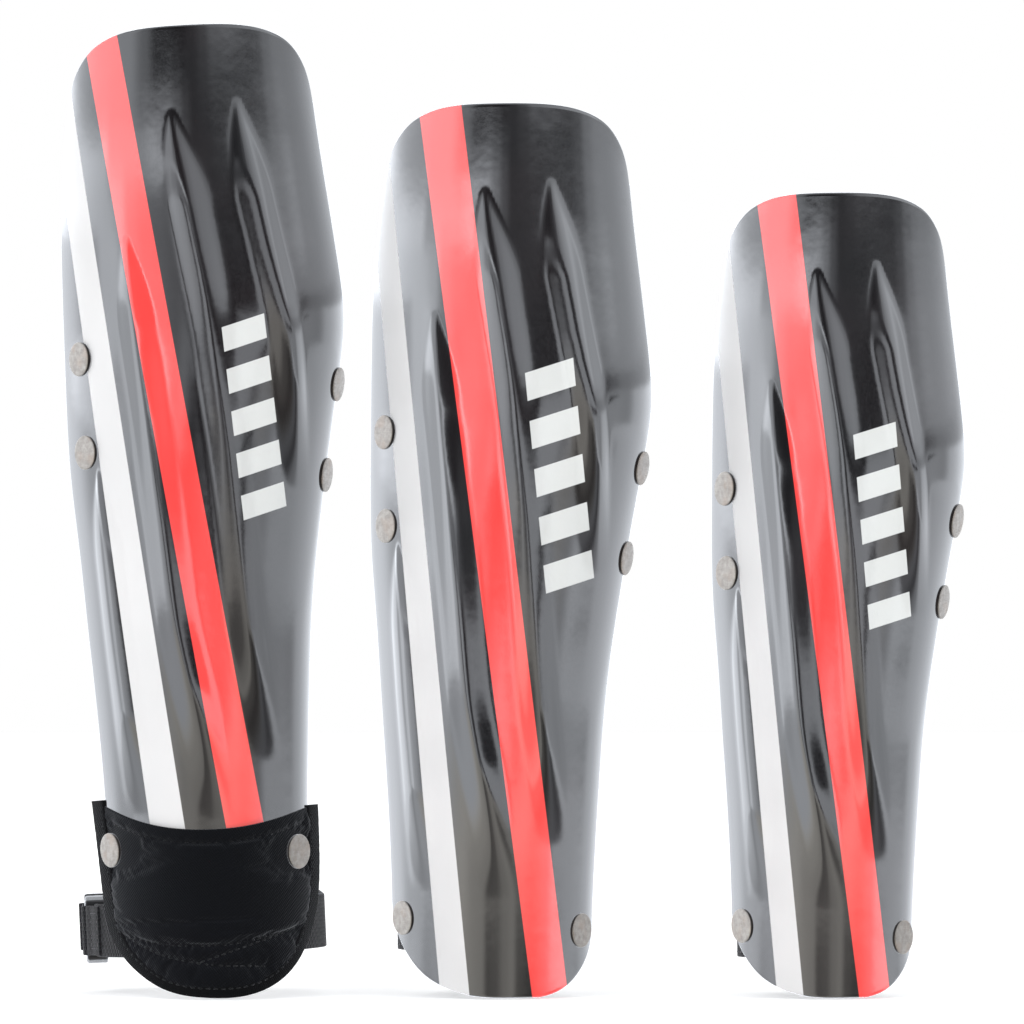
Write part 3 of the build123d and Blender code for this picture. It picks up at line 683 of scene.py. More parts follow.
def weave(name, across, along, tint, rough, depth, sheen=0.25, twill=False, ribs=0.0):
    """Woven fabric over the per-vertex lengths wu and wv.

    across and along are thread pitches, ribs the pitch of coarse ribs and depth the bump, all
    in metres.
    """
    mat, net = material(name)
    u, v = net.attr("wu"), net.attr("wv")
    wobble = (net.noise(scale=260.0, detail=2.0) - 0.5) * 0.00018
    warp_pitch, weft_pitch = 2 * math.pi / across, 2 * math.pi / along
    if twill:
        # fine diagonal ridges broken by the weft
        p = (u * 0.82 + v * 0.57 + wobble) * warp_pitch
        q = (v * 0.82 - u * 0.57 + wobble) * weft_pitch
        height = net.wave(p) * 0.7 + net.wave(q + net.math("SINE", p) * 0.9) * 0.45
    else:
        # neighbouring warp threads are half a weft out of step
        p = (u + wobble) * warp_pitch
        q = (v + wobble) * weft_pitch
        step = net.math("SIGN", net.math("SINE", p * 0.5)) * (math.pi / 2)
        height = net.wave(p) * 0.45 + net.wave(q + step) * 0.75
        if ribs:
            height = height + net.wave(u * (2 * math.pi / ribs)) * 1.2
    fuzz = net.noise(scale=1900.0, detail=3.0, rough=0.7)
    broad = net.noise(scale=45.0, detail=3.0, rough=0.6)
    # painted shade and highlight: the colour darkens where the weave lies low and lightens on the
    # raised threads
    base = net.tone(height, start=0.2, end=1.3, dark=shades(tint, 0.45),
                    light=shades(tint, 1.7))
    base = net.overlay(base, fuzz, start=0.62, end=0.80, share=0.35, colour=shades(tint, 2.6))
    base = net.overlay(base, broad, start=0.35, end=0.7, share=0.3, colour=shades(tint, 1.35))
    net.surface(Base_Color=base, Roughness=rough,
                Normal=net.bump(height + fuzz * 0.35, strength=0.9, distance=depth),
                Sheen_Weight=sheen, Sheen_Roughness=0.4, Specular_IOR_Level=0.07)
    return mat


def thread(name, colour):
    mat, net = material(name)
    twist = net.noise(scale=3200.0, detail=2.0, rough=0.6)
    base = net.tone(twist, start=0.35, end=0.7, dark=shades(colour, 0.6),
                    light=shades(colour, 1.5))
    net.surface(Base_Color=base, Roughness=0.6,
                Normal=net.bump(twist, strength=0.5, distance=0.0001),
                Sheen_Weight=0.08, Specular_IOR_Level=0.08)
    return mat


SHELL = shell_gloss(ior=1.75)
SHELL_BACK = shell_back()
SHELL_LONG = shell_gloss(ior=1.66, upright=R(-GUARDS["long"]["lean"]))
NICKEL, ACETAL = nickel(), moulded()
LINER_CLOTH = weave("liner_cloth", across=0.0011, along=0.0013, tint=(0.022, 0.022, 0.024),
                    rough=0.92, depth=0.00022, sheen=0.5)
FOAM_EDGE = weave("liner_edge", across=0.0009, along=0.0009, tint=(0.030, 0.030, 0.032),
                  rough=0.95, depth=0.0002)
ELASTIC = weave("elastic_ribbed", across=0.0009, along=0.0016, tint=(0.016, 0.016, 0.018),
                rough=0.85, depth=0.00035, ribs=0.0031)
WEBBING = weave("webbing", across=0.0017, along=0.0014, tint=(0.015, 0.015, 0.017),
                rough=0.72, depth=0.00035, sheen=0.15)
TWILL = weave("flap_twill", across=0.00085, along=0.0013, tint=(0.0015, 0.0019, 0.0031),
              rough=0.62, depth=0.00022, sheen=0.03, twill=True)
TAPE = weave("binding_grosgrain", across=0.0009, along=0.0008, tint=(0.0010, 0.0011, 0.0015),
             rough=0.7, depth=0.00022, sheen=0.03)
THREAD = thread("thread_black", colour=(0.0016, 0.0018, 0.0024))
THREAD_GREY = thread("thread_grey", colour=(0.07, 0.07, 0.075))

# ================================================================ paint
# Row-frame millimetres seen from the front, each line from its upper to its lower point as
# (x, z, x, z): a stripe's left and right edges, and the axis of the bars
PAINT = {
    "long": dict(
        red=((-180.18, 398.112, -121.407, 76.362), (-165.165, 398.112, -105.105, 76.362)),
        white=((-190.047, 333.762, -154.011, 76.362), (-179.751, 333.762, -138.996, 76.362)),
        bars=(-113.685, 290.862, -103.389, 200.772)),
    "mid": dict(
        red=((-37.752, 376.662, 10.296, 1.287), (-19.305, 376.662, 24.453, 12.012)),
        white=((-52.338, 269.412, -30.03, 12.012), (-42.471, 269.412, -17.589, 12.012)),
        bars=(17.589, 271.557, 27.456, 168.597)),
    "short": dict(
        red=((108.108, 333.762, 150.579, 1.287), (124.839, 333.762, 163.02, 12.012)),
        white=((94.38, 237.237, 114.543, 12.012), (103.818, 237.237, 125.697, 12.012)),
        bars=(157.014, 244.53, 164.736, 153.582)),
}


def line_x(line, z):
    top_x, top_z, foot_x, foot_z = line
    return top_x + (z - top_z) / (foot_z - top_z) * (foot_x - top_x)


def paint(guard, points):
    """Distances in metres of row-frame points from the stripes' edges, negative inside, and
    places across (bar_u) and down (bar_v) the bars' axis."""
    x, z = points[:, 0] * 1000, points[:, 2] * 1000
    out = {}
    for key in ("red", "white"):
        left, right = PAINT[guard][key]
        out[key] = np.maximum(line_x(left, z) - x, x - line_x(right, z)) / 1000
    axis = np.array(PAINT[guard]["bars"])
    start, span = axis[:2], axis[2:] - axis[:2]
    length = np.linalg.norm(span)
    down = span / length
    stretch = BARS_LENGTH / length
    dx, dz = x - start[0], z - start[1]
    out["bar_v"] = (dx * down[0] + dz * down[1]) * stretch / 1000
    out["bar_u"] = (dx * -down[1] + dz * down[0]) * stretch / 1000
    return out


def attach(ob, body, slot, *nodes):
    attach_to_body(ob, body)
    if nodes:
        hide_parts(*nodes)


# ================================================================ shells
EDGE_TRIM = 0.75       # the grid stops this short, and the rim's bulge makes it up


def shell_limits(scale, angles):
    """Lowest and highest z of the shell's grid at each angle."""
    def at(left, right):
        curve = np.concatenate([spline(left), spline(right)])
        theta = angle_of(curve[:, 0], curve[:, 1])
        order = np.argsort(theta, kind="stable")
        return np.interp(angles, theta[order], curve[order, 1]) * scale
    return at(LOW_LEFT, LOW_RIGHT) + EDGE_TRIM, at(TOP_LEFT, TOP_RIGHT) - EDGE_TRIM


def build_shell(guard):
    scale = GUARDS[guard]["scale"]
    cols, rows = 151, 281
    widest = EDGE_ANGLE - math.degrees(EDGE_TRIM / 50.0)
    u, v = np.linspace(-1, 1, cols), np.linspace(0, 1, rows)
    # columns and rows crowd towards the edges
    angles = widest * (u + 0.06 * np.sin(math.pi * u))
    v = v - 0.05 * np.sin(2 * math.pi * v)
    low, high = shell_limits(scale, angles)
    z = low[None, :] + (high - low)[None, :] * v[:, None]
    verts, faces, zone, count = slab(skin(angles, z, 0, scale), skin(angles, z, -WALL, scale),
                                     EDGE_TRIM, arc=6)
    placed = to_world(guard, verts)
    attrs = paint(guard, placed)
    attrs["outside"] = np.ones(len(verts))
    attrs["outside"][count:2 * count] = 0
    gloss = SHELL_LONG if guard == "long" else SHELL
    ob = make(f"{guard}_shell_skin", placed, faces, [gloss, SHELL_BACK], zone == 2, attrs)
    attach(ob, f"{guard}_guard", "shell", f"{guard}_shell")


# ================================================================ cloth simulation
SIM_FRAMES = 14
SIM_SIZE = 10.0        # the sheet is simulated this many times enlarged
SIM_CLOTH = dict(quality=6, mass=0.3, tension_stiffness=18, compression_stiffness=18,
                 shear_stiffness=8, bending_stiffness=0.6, shrink_min=-0.035,
                 use_pressure=True, uniform_pressure_force=5.0, vertex_group_mass="pin")


def simulate(name, big, pinned, normals):
    """Cloth run of a sheet blown up between its pinned points; returns its last positions."""
    rows, cols = big.shape[:2]
    index = np.arange(rows * cols).reshape(rows, cols)
    mesh = bpy.data.meshes.new(name)
    mesh.from_pydata([tuple(p) for p in big.reshape(-1, 3)], [],
                     [tuple(map(int, f)) for f in quads(index)])
    mesh.update()
    middle_face = mesh.polygons[len(mesh.polygons) // 2]
    if Vector(normals[rows // 2, cols // 2]).dot(middle_face.normal) < 0:
        mesh.flip_normals()
    ob = bpy.data.objects.new(name, mesh)
    scene = bpy.context.scene
    scene.collection.objects.link(ob)
    ob.vertex_groups.new(name="pin").add([int(i) for i in index[pinned]], 1.0, "REPLACE")
    cloth = ob.modifiers.new("cloth", "CLOTH")
    for key, value in SIM_CLOTH.items():
        setattr(cloth.settings, key, value)
    cloth.settings.effector_weights.gravity = 0.0
    cloth.collision_settings.use_collision = False
    for clock in (scene, cloth.point_cache):
        clock.frame_start, clock.frame_end = 1, SIM_FRAMES
    for f in range(1, SIM_FRAMES + 1):
        scene.frame_set(f)
    evaluated = ob.evaluated_get(bpy.context.evaluated_depsgraph_get())
    flat = np.zeros(rows * cols * 3, np.float32)
    evaluated.to_mesh().vertices.foreach_get("co", flat)
    evaluated.to_mesh_clear()
    bpy.data.objects.remove(ob)
    scene.frame_set(1)
    return flat.reshape(rows, cols, 3)


def inflate(name, points, pinned, normals, cap):
    """Displacement, in metres, of a sheet (rows, cols, 3) that swells along its normals between
    pinned points, at most cap along them."""
    big = points * SIM_SIZE
    moved = (simulate(name, big, pinned, normals) - big) / SIM_SIZE
    rise = (moved * normals).sum(-1)
    side = moved - rise[..., None] * normals
    size = np.linalg.norm(side, axis=-1, keepdims=True)
    side = side * np.minimum(1.0, 0.4 * cap / np.maximum(size, 1e-9))
    moved = np.clip(rise, -0.1 * cap, cap)[..., None] * normals + side
    moved[~np.isfinite(moved)] = 0
    return moved


def resample(field, rows, cols):
    """A coarse field spread bilinearly over a grid of rows and cols."""
    n, m = field.shape[:2]
    r, c = np.meshgrid(np.linspace(0, 1, rows) * (n - 1), np.linspace(0, 1, cols) * (m - 1),
                       indexing="ij")
    r0, c0 = np.clip(r.astype(int), 0, n - 2), np.clip(c.astype(int), 0, m - 2)
    fr, fc = (r - r0)[..., None], (c - c0)[..., None]
    return (field[r0, c0] * (1 - fr) * (1 - fc) + field[r0 + 1, c0] * fr * (1 - fc)
            + field[r0, c0 + 1] * (1 - fr) * fc + field[r0 + 1, c0 + 1] * fr * fc)


# ================================================================ liners
LINER_FOOT, LINER_HEAD = 9.0, 11.0     # margins to the shell's foot and top
LINER_HALF, LINER_CORNER = 47.0, 24.0  # half width and corner radius
LINER_SEAMS = np.linspace(0.0, 1.0, 8)[1:-1]   # heights of the sewn channels, 0 foot to 1 top


def liner_grid(scale, rows, cols):
    """Across (-1 to 1), up (0 to 1), theta, z, padding crown and seam depth at each point."""
    low, high = LINER_FOOT * scale, (SHELL_H - LINER_HEAD) * scale
    up, across = np.meshgrid(np.linspace(0, 1, rows), np.linspace(-1, 1, cols), indexing="ij")
    to_end = np.minimum(up, 1 - up) * (high - low)
    # rounded corners: the width closes in near both ends
    squeeze = quarter_round(to_end / (LINER_CORNER * scale))
    corner = (LINER_HALF - LINER_CORNER * (1 - squeeze)) / LINER_HALF
    z = low + (high - low) * up
    radius = shell_arc(z / scale)[0]
    half = np.degrees(np.arcsin(np.clip(LINER_HALF / radius, 0, 0.98)))
    half = np.minimum(half, LINER_ANGLE) * corner
    crown = quarter_round(np.minimum((1 - np.abs(across)) * 44.0, to_end) / 9.0)
    to_seam = np.min(np.abs(up[..., None] - LINER_SEAMS), -1) * (high - low)
    return across, up, across * half, z, crown, np.exp(-((to_seam / 2.2) ** 2))


def liner_border(grid):
    """Points of the edge seam, once round."""
    return np.concatenate([grid[6:-6, 3], grid[-6, 3:-3], grid[6:-6, -4][::-1],
                           grid[5, 3:-3][::-1]])


def build_liner(guard):
    scale = GUARDS[guard]["scale"]
    back = -WALL - LINER_GAP

    # coarse sheet for the simulation, on the side towards the leg
    across, up, theta, z, _, seam = liner_grid(scale, 75, 21)
    sheet = skin(theta, z, back - LINER_T * 0.78, scale, ribs=False) / 1000
    normals = unit(np.cross(np.gradient(sheet, axis=0), np.gradient(sheet, axis=1)))
    pinned = (np.abs(across) > 0.93) | (up < 0.02) | (up > 0.98) | (seam > 0.75)
    swell = inflate(f"{guard}_pad_sim", sheet, pinned, normals, cap=0.0022)

    rows, cols = 221, 61
    _, _, theta, z, crown, seam = liner_grid(scale, rows, cols)
    thick = 0.9 + (LINER_T * 0.72 - 0.9) * crown - 2.0 * seam * crown
    inner = skin(theta, z, back - thick, scale, ribs=False)
    inner = inner + resample(swell, rows, cols) * 1000 * crown[..., None]
    outer = skin(theta, z, back, scale, ribs=False)
    verts, faces, zone, count = slab(outer, inner, 0.5)
    arc = np.radians(theta).ravel() * 50.0 * scale
    rim = verts[2 * count:]
    attrs = dict(wu=np.concatenate([arc, arc, rim[:, 0]]) / 1000,
                 wv=np.concatenate([z.ravel(), z.ravel(), rim[:, 2]]) / 1000)
    pad = make(f"{guard}_pad", to_world(guard, verts), faces, [LINER_CLOTH, FOAM_EDGE],
               zone == 1, attrs)
    attach(pad, f"{guard}_guard", "liner", f"{guard}_liner")

    # threads of the sewn channels and of the edge seam
    facing = unit(inner - outer)
    parts = []
    for seam_at in LINER_SEAMS:
        r = int(round(seam_at * (rows - 1)))
        parts.append(stitches(inner[r, 3:-3], facing[r, 3:-3], **PAD_STITCH, lift=-0.05))
    parts.append(stitches(liner_border(inner), liner_border(facing), **PAD_STITCH))
    threads = thread_object(f"{guard}_pad_stitches", guard, parts, THREAD_GREY)
    attach(threads, f"{guard}_guard", "liner")


# ================================================================ rivets
RIVET_SEAT = {"calf": 0.15, "ankle": 0.15, "flap": FLAP_OUT + BIND_RISE + 0.6}
HEAD_WALL, HEAD_ROUND = 1.35, 0.45     # height of the head's side wall and its top rounding
# low dome of the head: (radius, height above the seat)
DOME = [(6.4, 1.86), (5.6, 1.93), (4.6, 1.99), (3.2, 2.05), (1.6, 2.08), (0.0, 2.09)]


def rivet_profile(seat):
    """(radius, height) from the shank up over the head."""
    profile = [(1.9, -4.0), (1.9, 0.0), (HEAD_R - 0.5, 0.0), (HEAD_R - 0.15, 0.12),
               (HEAD_R, 0.4), (HEAD_R, HEAD_WALL)]
    for a in np.radians(np.linspace(0, 90, 6)[1:]):
        profile.append((HEAD_R - HEAD_ROUND + HEAD_ROUND * math.cos(a),
                        HEAD_WALL + HEAD_ROUND * math.sin(a)))
    return [(r, seat + h) for r, h in profile + DOME]


def build_rivets(guard):
    parts, seated = [], []
    for part in ("calf", "flap" if guard == "long" else "ankle"):
        seat = RIVET_SEAT[part]
        frames = [f for side, _ in SIDES
                  for f in rivet_frames(GUARDS[guard]["scale"], f"{part}_{side}")]
        parts.append(lathe(rivet_profile(seat), frames))
        seated += [(origin, normal, seat) for origin, _, _, normal in frames]
    verts, faces = merge(parts)
    # marks the shank and the head's side wall, which the nickel colours dark as painted shade
    wall_shade_mask = np.zeros(len(verts))
    for origin, normal, seat in seated:
        low = np.abs((verts - origin) @ normal) < seat + 1.42
        wall_shade_mask[low & (np.linalg.norm(verts - origin, axis=1) < HEAD_R + 8)] = 1.0
    ob = make(f"{guard}_rivets", to_world(guard, verts), faces, NICKEL, None, dict(wall_shade_mask=wall_shade_mask))
    attach(ob, f"{guard}_guard", "rivet", f"{guard}_rivet_caps")


# ================================================================ flap surface and boot strap path
def flap_xyz(u, z, offset):
    """Point of the flap at angle u; beyond FLAP_BEND it runs on straight."""
    u, z, offset = np.broadcast_arrays(*(np.asarray(v, float) for v in (u, z, offset)))
    radius, centre_x, centre_y = shell_arc(np.maximum(z, 0.0))
    t = np.radians(np.minimum(np.abs(u), FLAP_BEND))
    run = np.radians(np.maximum(0.0, np.abs(u) - FLAP_BEND)) * radius
    r = radius + offset
    across = np.sign(u) * (r * np.sin(t) + run * np.cos(t))
    return np.stack([centre_x + across, centre_y - r * np.cos(t) + run * np.sin(t), z], -1)


def flap_uz(points):
    """(x, z) points on the flap's outside to (u, z)."""
    x, z = points[:, 0], points[:, 1]
    radius, centre_x, _ = shell_arc(np.maximum(z, 0.0))
    r = radius + FLAP_OUT
    off = np.abs(x - centre_x)
    bend = R(FLAP_BEND)
    limit = r * math.sin(bend)
    near = np.degrees(np.arcsin(np.clip(off / r, 0, math.sin(bend))))
    far = FLAP_BEND + np.degrees((off - limit) / math.cos(bend) / radius)
    return np.stack([np.sign(x - centre_x) * np.where(off <= limit, near, far), z], 1)


def boot_path(side):
    """(x, y) of the long guard's ankle strap on one side, from the flap to the rear middle."""
    centre_x = float(shell_arc(0.0)[1])
    side_x = centre_x + side * BOOT_HALF
    rough = [tuple(flap_xyz(side * u, BOOT_Z, FLAP_GAP - 0.3)[:2]) for u in (56, 60, 64, 68, 73)]
    rough += [(side_x - side * 0.6, -13.0)]
    rough += [(side_x, y) for y in np.linspace(-8.0, 46.0, 9)]
    rough += [(centre_x + side * BOOT_HALF * math.cos(t), 46.0 + 38.0 * math.sin(t))
              for t in np.radians(np.linspace(10, 90, 9))]
    points = np.array(rough, float)
    run = run_of(points)
    out = sample(np.linspace(0, run[-1], 161), run, points)
    for _ in range(24):
        out[9:-1] = 0.25 * out[8:-2] + 0.5 * out[9:-1] + 0.25 * out[10:]
    return out


# ================================================================ straps
# strap, name in the CAD, slot, cloth
STRAPS = [("calf", "calf_band", "elastic", ELASTIC),
          ("ankle", "ankle_strap", "webbing", WEBBING)]


def strap_levels(guard, which):
    """Heights of the strap's left front, right front and buckle, and its depth at the rear."""
    scale = GUARDS[guard]["scale"]
    left, right = (np.mean([z for _, z in RIVETS[f"{which}_{side}"]]) * scale
                   for side, _ in SIDES)
    middle = (left + right) / 2
    if which == "ankle":
        left = right = middle
    return left, right, middle, REAR[which] * scale


def strap_xyz(phi, z, z_middle, scale, rear, deeper=0.0):
    """Point of a strap at angle phi from the front, moved in by deeper.

    It follows the shell's inside at the front and one flat loop at the buckle's height behind.
    """
    phi, z = np.broadcast_arrays(np.asarray(phi, float), np.asarray(z, float))
    flat = ease((np.abs(phi) - 78.0) / 22.0)
    radius, centre_x, centre_y = (
        (own * (1 - flat) + common * flat) * scale
        for own, common in zip(shell_arc(z / scale), shell_arc(z_middle / scale)))
    radius = radius - (STRAP_INSET + deeper) - PULL * ease((np.abs(phi) - 77.0) / 15.0)
    sin, cos = np.sin(np.radians(phi)), np.cos(np.radians(phi))
    power = 2.0 / 2.6
    front = np.abs(phi) <= 90.0
    x = np.where(front, centre_x + radius * sin,
                 centre_x + radius * np.sign(sin) * np.abs(sin) ** power)
    y = np.where(front, centre_y - radius * cos,
                 centre_y + (rear - deeper) * np.abs(cos) ** power)
    return np.stack([x, y, z], -1)


def stop_angle(x_target, z, scale, rear, sign):
    """Angle behind at which the strap reaches x_target, by halving."""
    low, high = 95.0, 179.5
    for _ in range(50):
        middle = (low + high) / 2
        if sign * (strap_xyz(sign * middle, z, z, scale, rear)[0] - x_target) > 0:
            low = middle
        else:
            high = middle
    return sign * low


def soften(values):
    values = values.copy()
    for _ in range(60):
        values[1:-1] = 0.25 * values[:-2] + 0.5 * values[1:-1] + 0.25 * values[2:]
    return values


def strap_grid(guard, which, sign):
    """Outer and inner grids of half a strap, with z and the length run along it."""
    scale = GUARDS[guard]["scale"]
    cols, rows = 150, 27
    left, right, middle, rear = strap_levels(guard, which)
    front = left if sign < 0 else right
    web = WEB_H / 2
    centre_x = float(shell_arc(middle / scale)[1]) * scale
    reach = WEB_FROM if sign < 0 else WEB_TO
    phi = np.linspace(sign * 50.9, stop_angle(centre_x + reach, middle, scale, rear, sign), cols)
    low, high = np.full(cols, middle - web), np.full(cols, middle + web)
    if which == "calf":
        # the band tapers along y to the webbing's height
        half = BAND_H * GUARDS[guard]["band"]
        y = strap_xyz(phi, middle, middle, scale, rear)[:, 1]
        stations = [-90, -18 * scale, 15.0 * scale + 18, 120]
        low = soften(np.interp(y, stations, [front - half] * 2 + [middle - web] * 2))
        high = soften(np.interp(y, stations, [front + half] * 2 + [middle + web] * 2))
        # rounded front corners
        lead = np.abs(phi - phi[0]) / 180 * math.pi * 55 * scale
        corner = 9.0 * (1 - quarter_round(lead / 9.0))
        low, high = low + corner, high - corner
    z = low[None] + (high - low)[None] * np.linspace(0, 1, rows)[:, None]
    outer = strap_xyz(phi, z, middle, scale, rear)
    inner = strap_xyz(phi, z, middle, scale, rear, deeper=BAND_T)
    run = np.broadcast_to(run_of(outer[rows // 2]), z.shape)
    grids = outer, inner, z, run
    return grids if sign < 0 else tuple(grid[::-1] for grid in grids)


def buckle_frame(guard, which):
    """Guard-frame origin of a buckle, and its directions along the strap and outward."""
    if guard == "long" and which == "ankle":
        centre_x = shell_arc(0.0)[1]
        origin = np.array([centre_x - BOOT_HALF + BAND_T / 2, BOOT_BUCKLE_Y, BOOT_Z])
        return origin, np.array([0, 1.0, 0]), np.array([-1.0, 0, 0])
    scale = GUARDS[guard]["scale"]
    _, _, middle, rear = strap_levels(guard, which)
    _, centre_x, centre_y = shell_arc(middle / scale)
    origin = np.array([centre_x * scale, centre_y * scale + rear - BAND_T / 2, middle])
    return origin, np.array([1.0, 0, 0]), np.array([0, 1.0, 0])


def strap_follower(guard, which):
    """Function that places (along, off) points of a buckle's frame: straight inside the buckle's
    ends, and following the strap beyond them."""
    origin, along, out = buckle_frame(guard, which)
    if guard == "long" and which == "ankle":
        line = np.concatenate([boot_path(-1), boot_path(1)[::-1]])
    else:
        _, _, middle, rear = strap_levels(guard, which)
        phi = np.concatenate([np.linspace(-95, -179.5, 160), np.linspace(179.5, 95, 160)])
        line = strap_xyz(phi, middle, middle, GUARDS[guard]["scale"], rear)[:, :2]
    line = line - origin[:2]
    path = np.stack([line @ along[:2], line @ out[:2]], 1)
    normals = left_normals(path)
    if normals[len(normals) // 2, 1] < 0:
        normals = -normals
    path = path - normals * BAND_T / 2
    run = run_of(path)
    direction = 1 if path[-1, 0] > path[0, 0] else -1

    def on_strap(x, off):
        if WEB_FROM < x < WEB_TO:
            return x, off
        end = WEB_FROM if x <= WEB_FROM else WEB_TO
        # the large penalty keeps the search on the buckle's stretch of the loop
        i = int(np.argmin(np.abs(path[:, 0] - end) + (np.abs(path[:, 1]) > 12) * 1000))
        at = [run[i] + (x - end) * direction]
        return tuple((sample(at, run, path) + sample(at, run, normals) * off)[0])

    return on_strap


FOLD_T = 1.2           # webbing thickness in the folds
FOLD_OFF = BAND_T / 2 + FOLD_T / 2 + 0.05      # fold's middle off the strap's middle
FOLD_STEPS = 110
# webbing round the socket's bar: (along from TAIL, off); it returns mirrored
FOLD_HALF = [(-15, FOLD_OFF), (-11, FOLD_OFF), (-7, FOLD_OFF), (-3.0, 2.6), (-0.2, 5.2),
             (1.6, 5.75), (3.3, 5.2), (4.15, 3.0)]
FOLD = [(TAIL + x, off) for x, off in
        FOLD_HALF + [(4.25, 0.0)] + [(x, -off) for x, off in FOLD_HALF[::-1]]]
# webbing laced through the plug's two slots: (along, off)
LACE = [
    (PLUG_END + 13, -FOLD_OFF), (PLUG_END + 9, -FOLD_OFF), (PLUG_END + 5, -FOLD_OFF),
    (PLUG_END + 1.6, -2.3), (PLUG_END - 0.6, -4.6), (20.6, -4.8), (18.8, -3.4), (18.4, 0.0),
    (18.0, 3.3), (15.6, 4.8), (13.2, 3.4), (12.6, 0.0), (12.2, -3.4), (11.0, -5.4),
    (12.5, -6.6), (17.0, -6.5), (PLUG_END - 1, -6.3), (PLUG_END + 2.5, -4.6),
    (PLUG_END + 6, -FOLD_OFF - 1.35), (PLUG_END + 10, -FOLD_OFF - 1.3),
    (PLUG_END + 14, -FOLD_OFF - 1.3), (PLUG_END + 19, -FOLD_OFF - 1.3),
]
BOX_HALF = 7.6         # half height of the stitched box on the fold


def build_folds(guard, which):
    """Webbing folded through the socket and laced through the plug, with the fold's stitches."""
    origin, along, out = buckle_frame(guard, which)
    up = np.array([0, 0, 1.0])
    on_strap = strap_follower(guard, which)

    def ribbon(route, width):
        flat = spline([on_strap(x, off) for x, off in route], FOLD_STEPS)
        normal = left_normals(flat)
        return ribbon_mesh(origin + flat[:, :1] * along + flat[:, 1:] * out, width, FOLD_T,
                           normal[:, :1] * along + normal[:, 1:] * out)

    def box_seam(xs, rows, side):
        """Stitches through the places xs along the strap and rows up it."""
        path = []
        for x, row in zip(xs, rows):
            flat_x, off = on_strap(x, side * (FOLD_OFF + FOLD_T / 2))
            path.append(origin + along * flat_x + out * off + up * row)
        return stitches(np.array(path), np.tile(out * side, (len(path), 1)), **FOLD_STITCH)

    seams = []
    for side in (1, -1):
        for row in (-BOX_HALF, BOX_HALF):
            seams.append(box_seam(np.linspace(TAIL - 14, TAIL - 7, 12), [row] * 12, side))
        for x in (TAIL - 13.6, TAIL - 7.6):
            seams.append(box_seam([x] * 16, np.linspace(-BOX_HALF, BOX_HALF, 16), side))
    body, plug = f"{guard}_guard", f"{guard}_{which}_plug_side"
    for name, (verts, faces), mat, rides in (
            ("fold", ribbon(FOLD, WEB_H - 0.6), WEBBING, body),
            ("lace", ribbon(LACE, WEB_H - 1.4), WEBBING, plug),
            ("fold_thread", merge(seams), THREAD_GREY, body)):
        wv = np.zeros(len(verts))
        if mat is WEBBING:
            wv = np.repeat(np.arange(FOLD_STEPS) * 0.8, len(verts) // FOLD_STEPS) / 1000
        attrs = dict(wu=(verts - origin) @ up / 1000, wv=wv)
        ob = make(f"{guard}_{which}_{name}", to_world(guard, verts), faces, mat, None, attrs)
        attach(ob, rides, "webbing")


def build_straps(guard):
    for which, part, slot, cloth in STRAPS:
        if guard == "long" and which == "ankle":
            continue
        for side, sign in SIDES:
            outer, inner, z, run = strap_grid(guard, which, sign)
            node = f"{guard}_{part}_{side}"
            band = sheet_object(f"{node}_cloth", guard, outer, inner, z, run, cloth)
            # hem stitches along both edges, outside and inside
            seams = []
            for r in (2, -3):
                line, back = outer[r, 3:-2], inner[r, 3:-2]
                normal = unit(line - back)
                seams.append(stitches(line, normal, **BAND_STITCH))
                seams.append(stitches(back, -normal, **BAND_STITCH))
            hem = thread_object(f"{node}_hem", guard, seams, THREAD_GREY)
            if side == "left":
                for ob in (band, hem):
                    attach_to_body(ob, f"{guard}_guard")
            else:
                origin, along, _ = buckle_frame(guard, which)
                start = to_world(guard, outer[outer.shape[0] // 2, 8])
                end = to_world(guard, origin + along * (PLUG_END + 14))
                for ob in (band, hem):
                    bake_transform(ob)
            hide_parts(node)
    for which in ("calf", "ankle"):
        build_folds(guard, which)


# ================================================================ boot flap
# quilting seams in row-frame millimetres seen from the front, (x, z)
QUILT_LINES = [
    [(-164.307, 25.74), (-153.582, 23.8095), (-141.141, 22.4796), (-129.987, 22.4796),
     (-118.404, 23.2947), (-104.247, 26.169), (-90.519, 30.03)],
    [(-164.307, 25.74), (-155.727, 21.021), (-146.289, 17.589), (-132.99, 15.015),
     (-121.407, 13.9425), (-110.253, 13.728), (-102.102, 13.299)],
    [(-132.99, 15.015), (-119.262, 19.734), (-105.534, 24.453), (-90.519, 30.03)],
]
BIND_TOP, BIND_BACK = FLAP_OUT + BIND_RISE, FLAP_GAP - 0.05    # the tape's outer and inner faces


def coons(bottom, top, left, right, rows, cols):
    """Grid (rows, cols, 2) that fills four boundary curves, running rightward and upward."""
    def even(curve, count):
        run = run_of(curve)
        return sample(np.linspace(0, run[-1], count), run, curve)
    b, t = even(bottom, cols), even(top, cols)
    l, r = even(left, rows), even(right, rows)
    s = np.linspace(0, 1, cols)[None, :, None]
    v = np.linspace(0, 1, rows)[:, None, None]
    ruled = (1 - v) * b[None] + v * t[None] + (1 - s) * l[:, None] + s * r[:, None]
    corners = ((1 - s) * (1 - v) * b[0] + s * (1 - v) * b[-1]
               + (1 - s) * v * t[0] + s * v * t[-1])
    return ruled - corners


def flap_outline():
    """The panel's free edge, tucked under the binding, and its top edge, both left to right."""
    edge, top = spline(FLAP_EDGE, 400), spline(FLAP_TOP)
    tuck = edge + left_normals(edge) * 2.6
    tuck = tuck[tuck[:, 1] < np.interp(tuck[:, 0], *top.T) - 0.2]
    left, right = ([x, np.interp(x, *top.T)] for x in (tuck[0, 0], tuck[-1, 0]))
    between = top[(top[:, 0] > left[0]) & (top[:, 0] < right[0])]
    return np.concatenate([[left], tuck, [right]]), np.concatenate([[left], between, [right]])


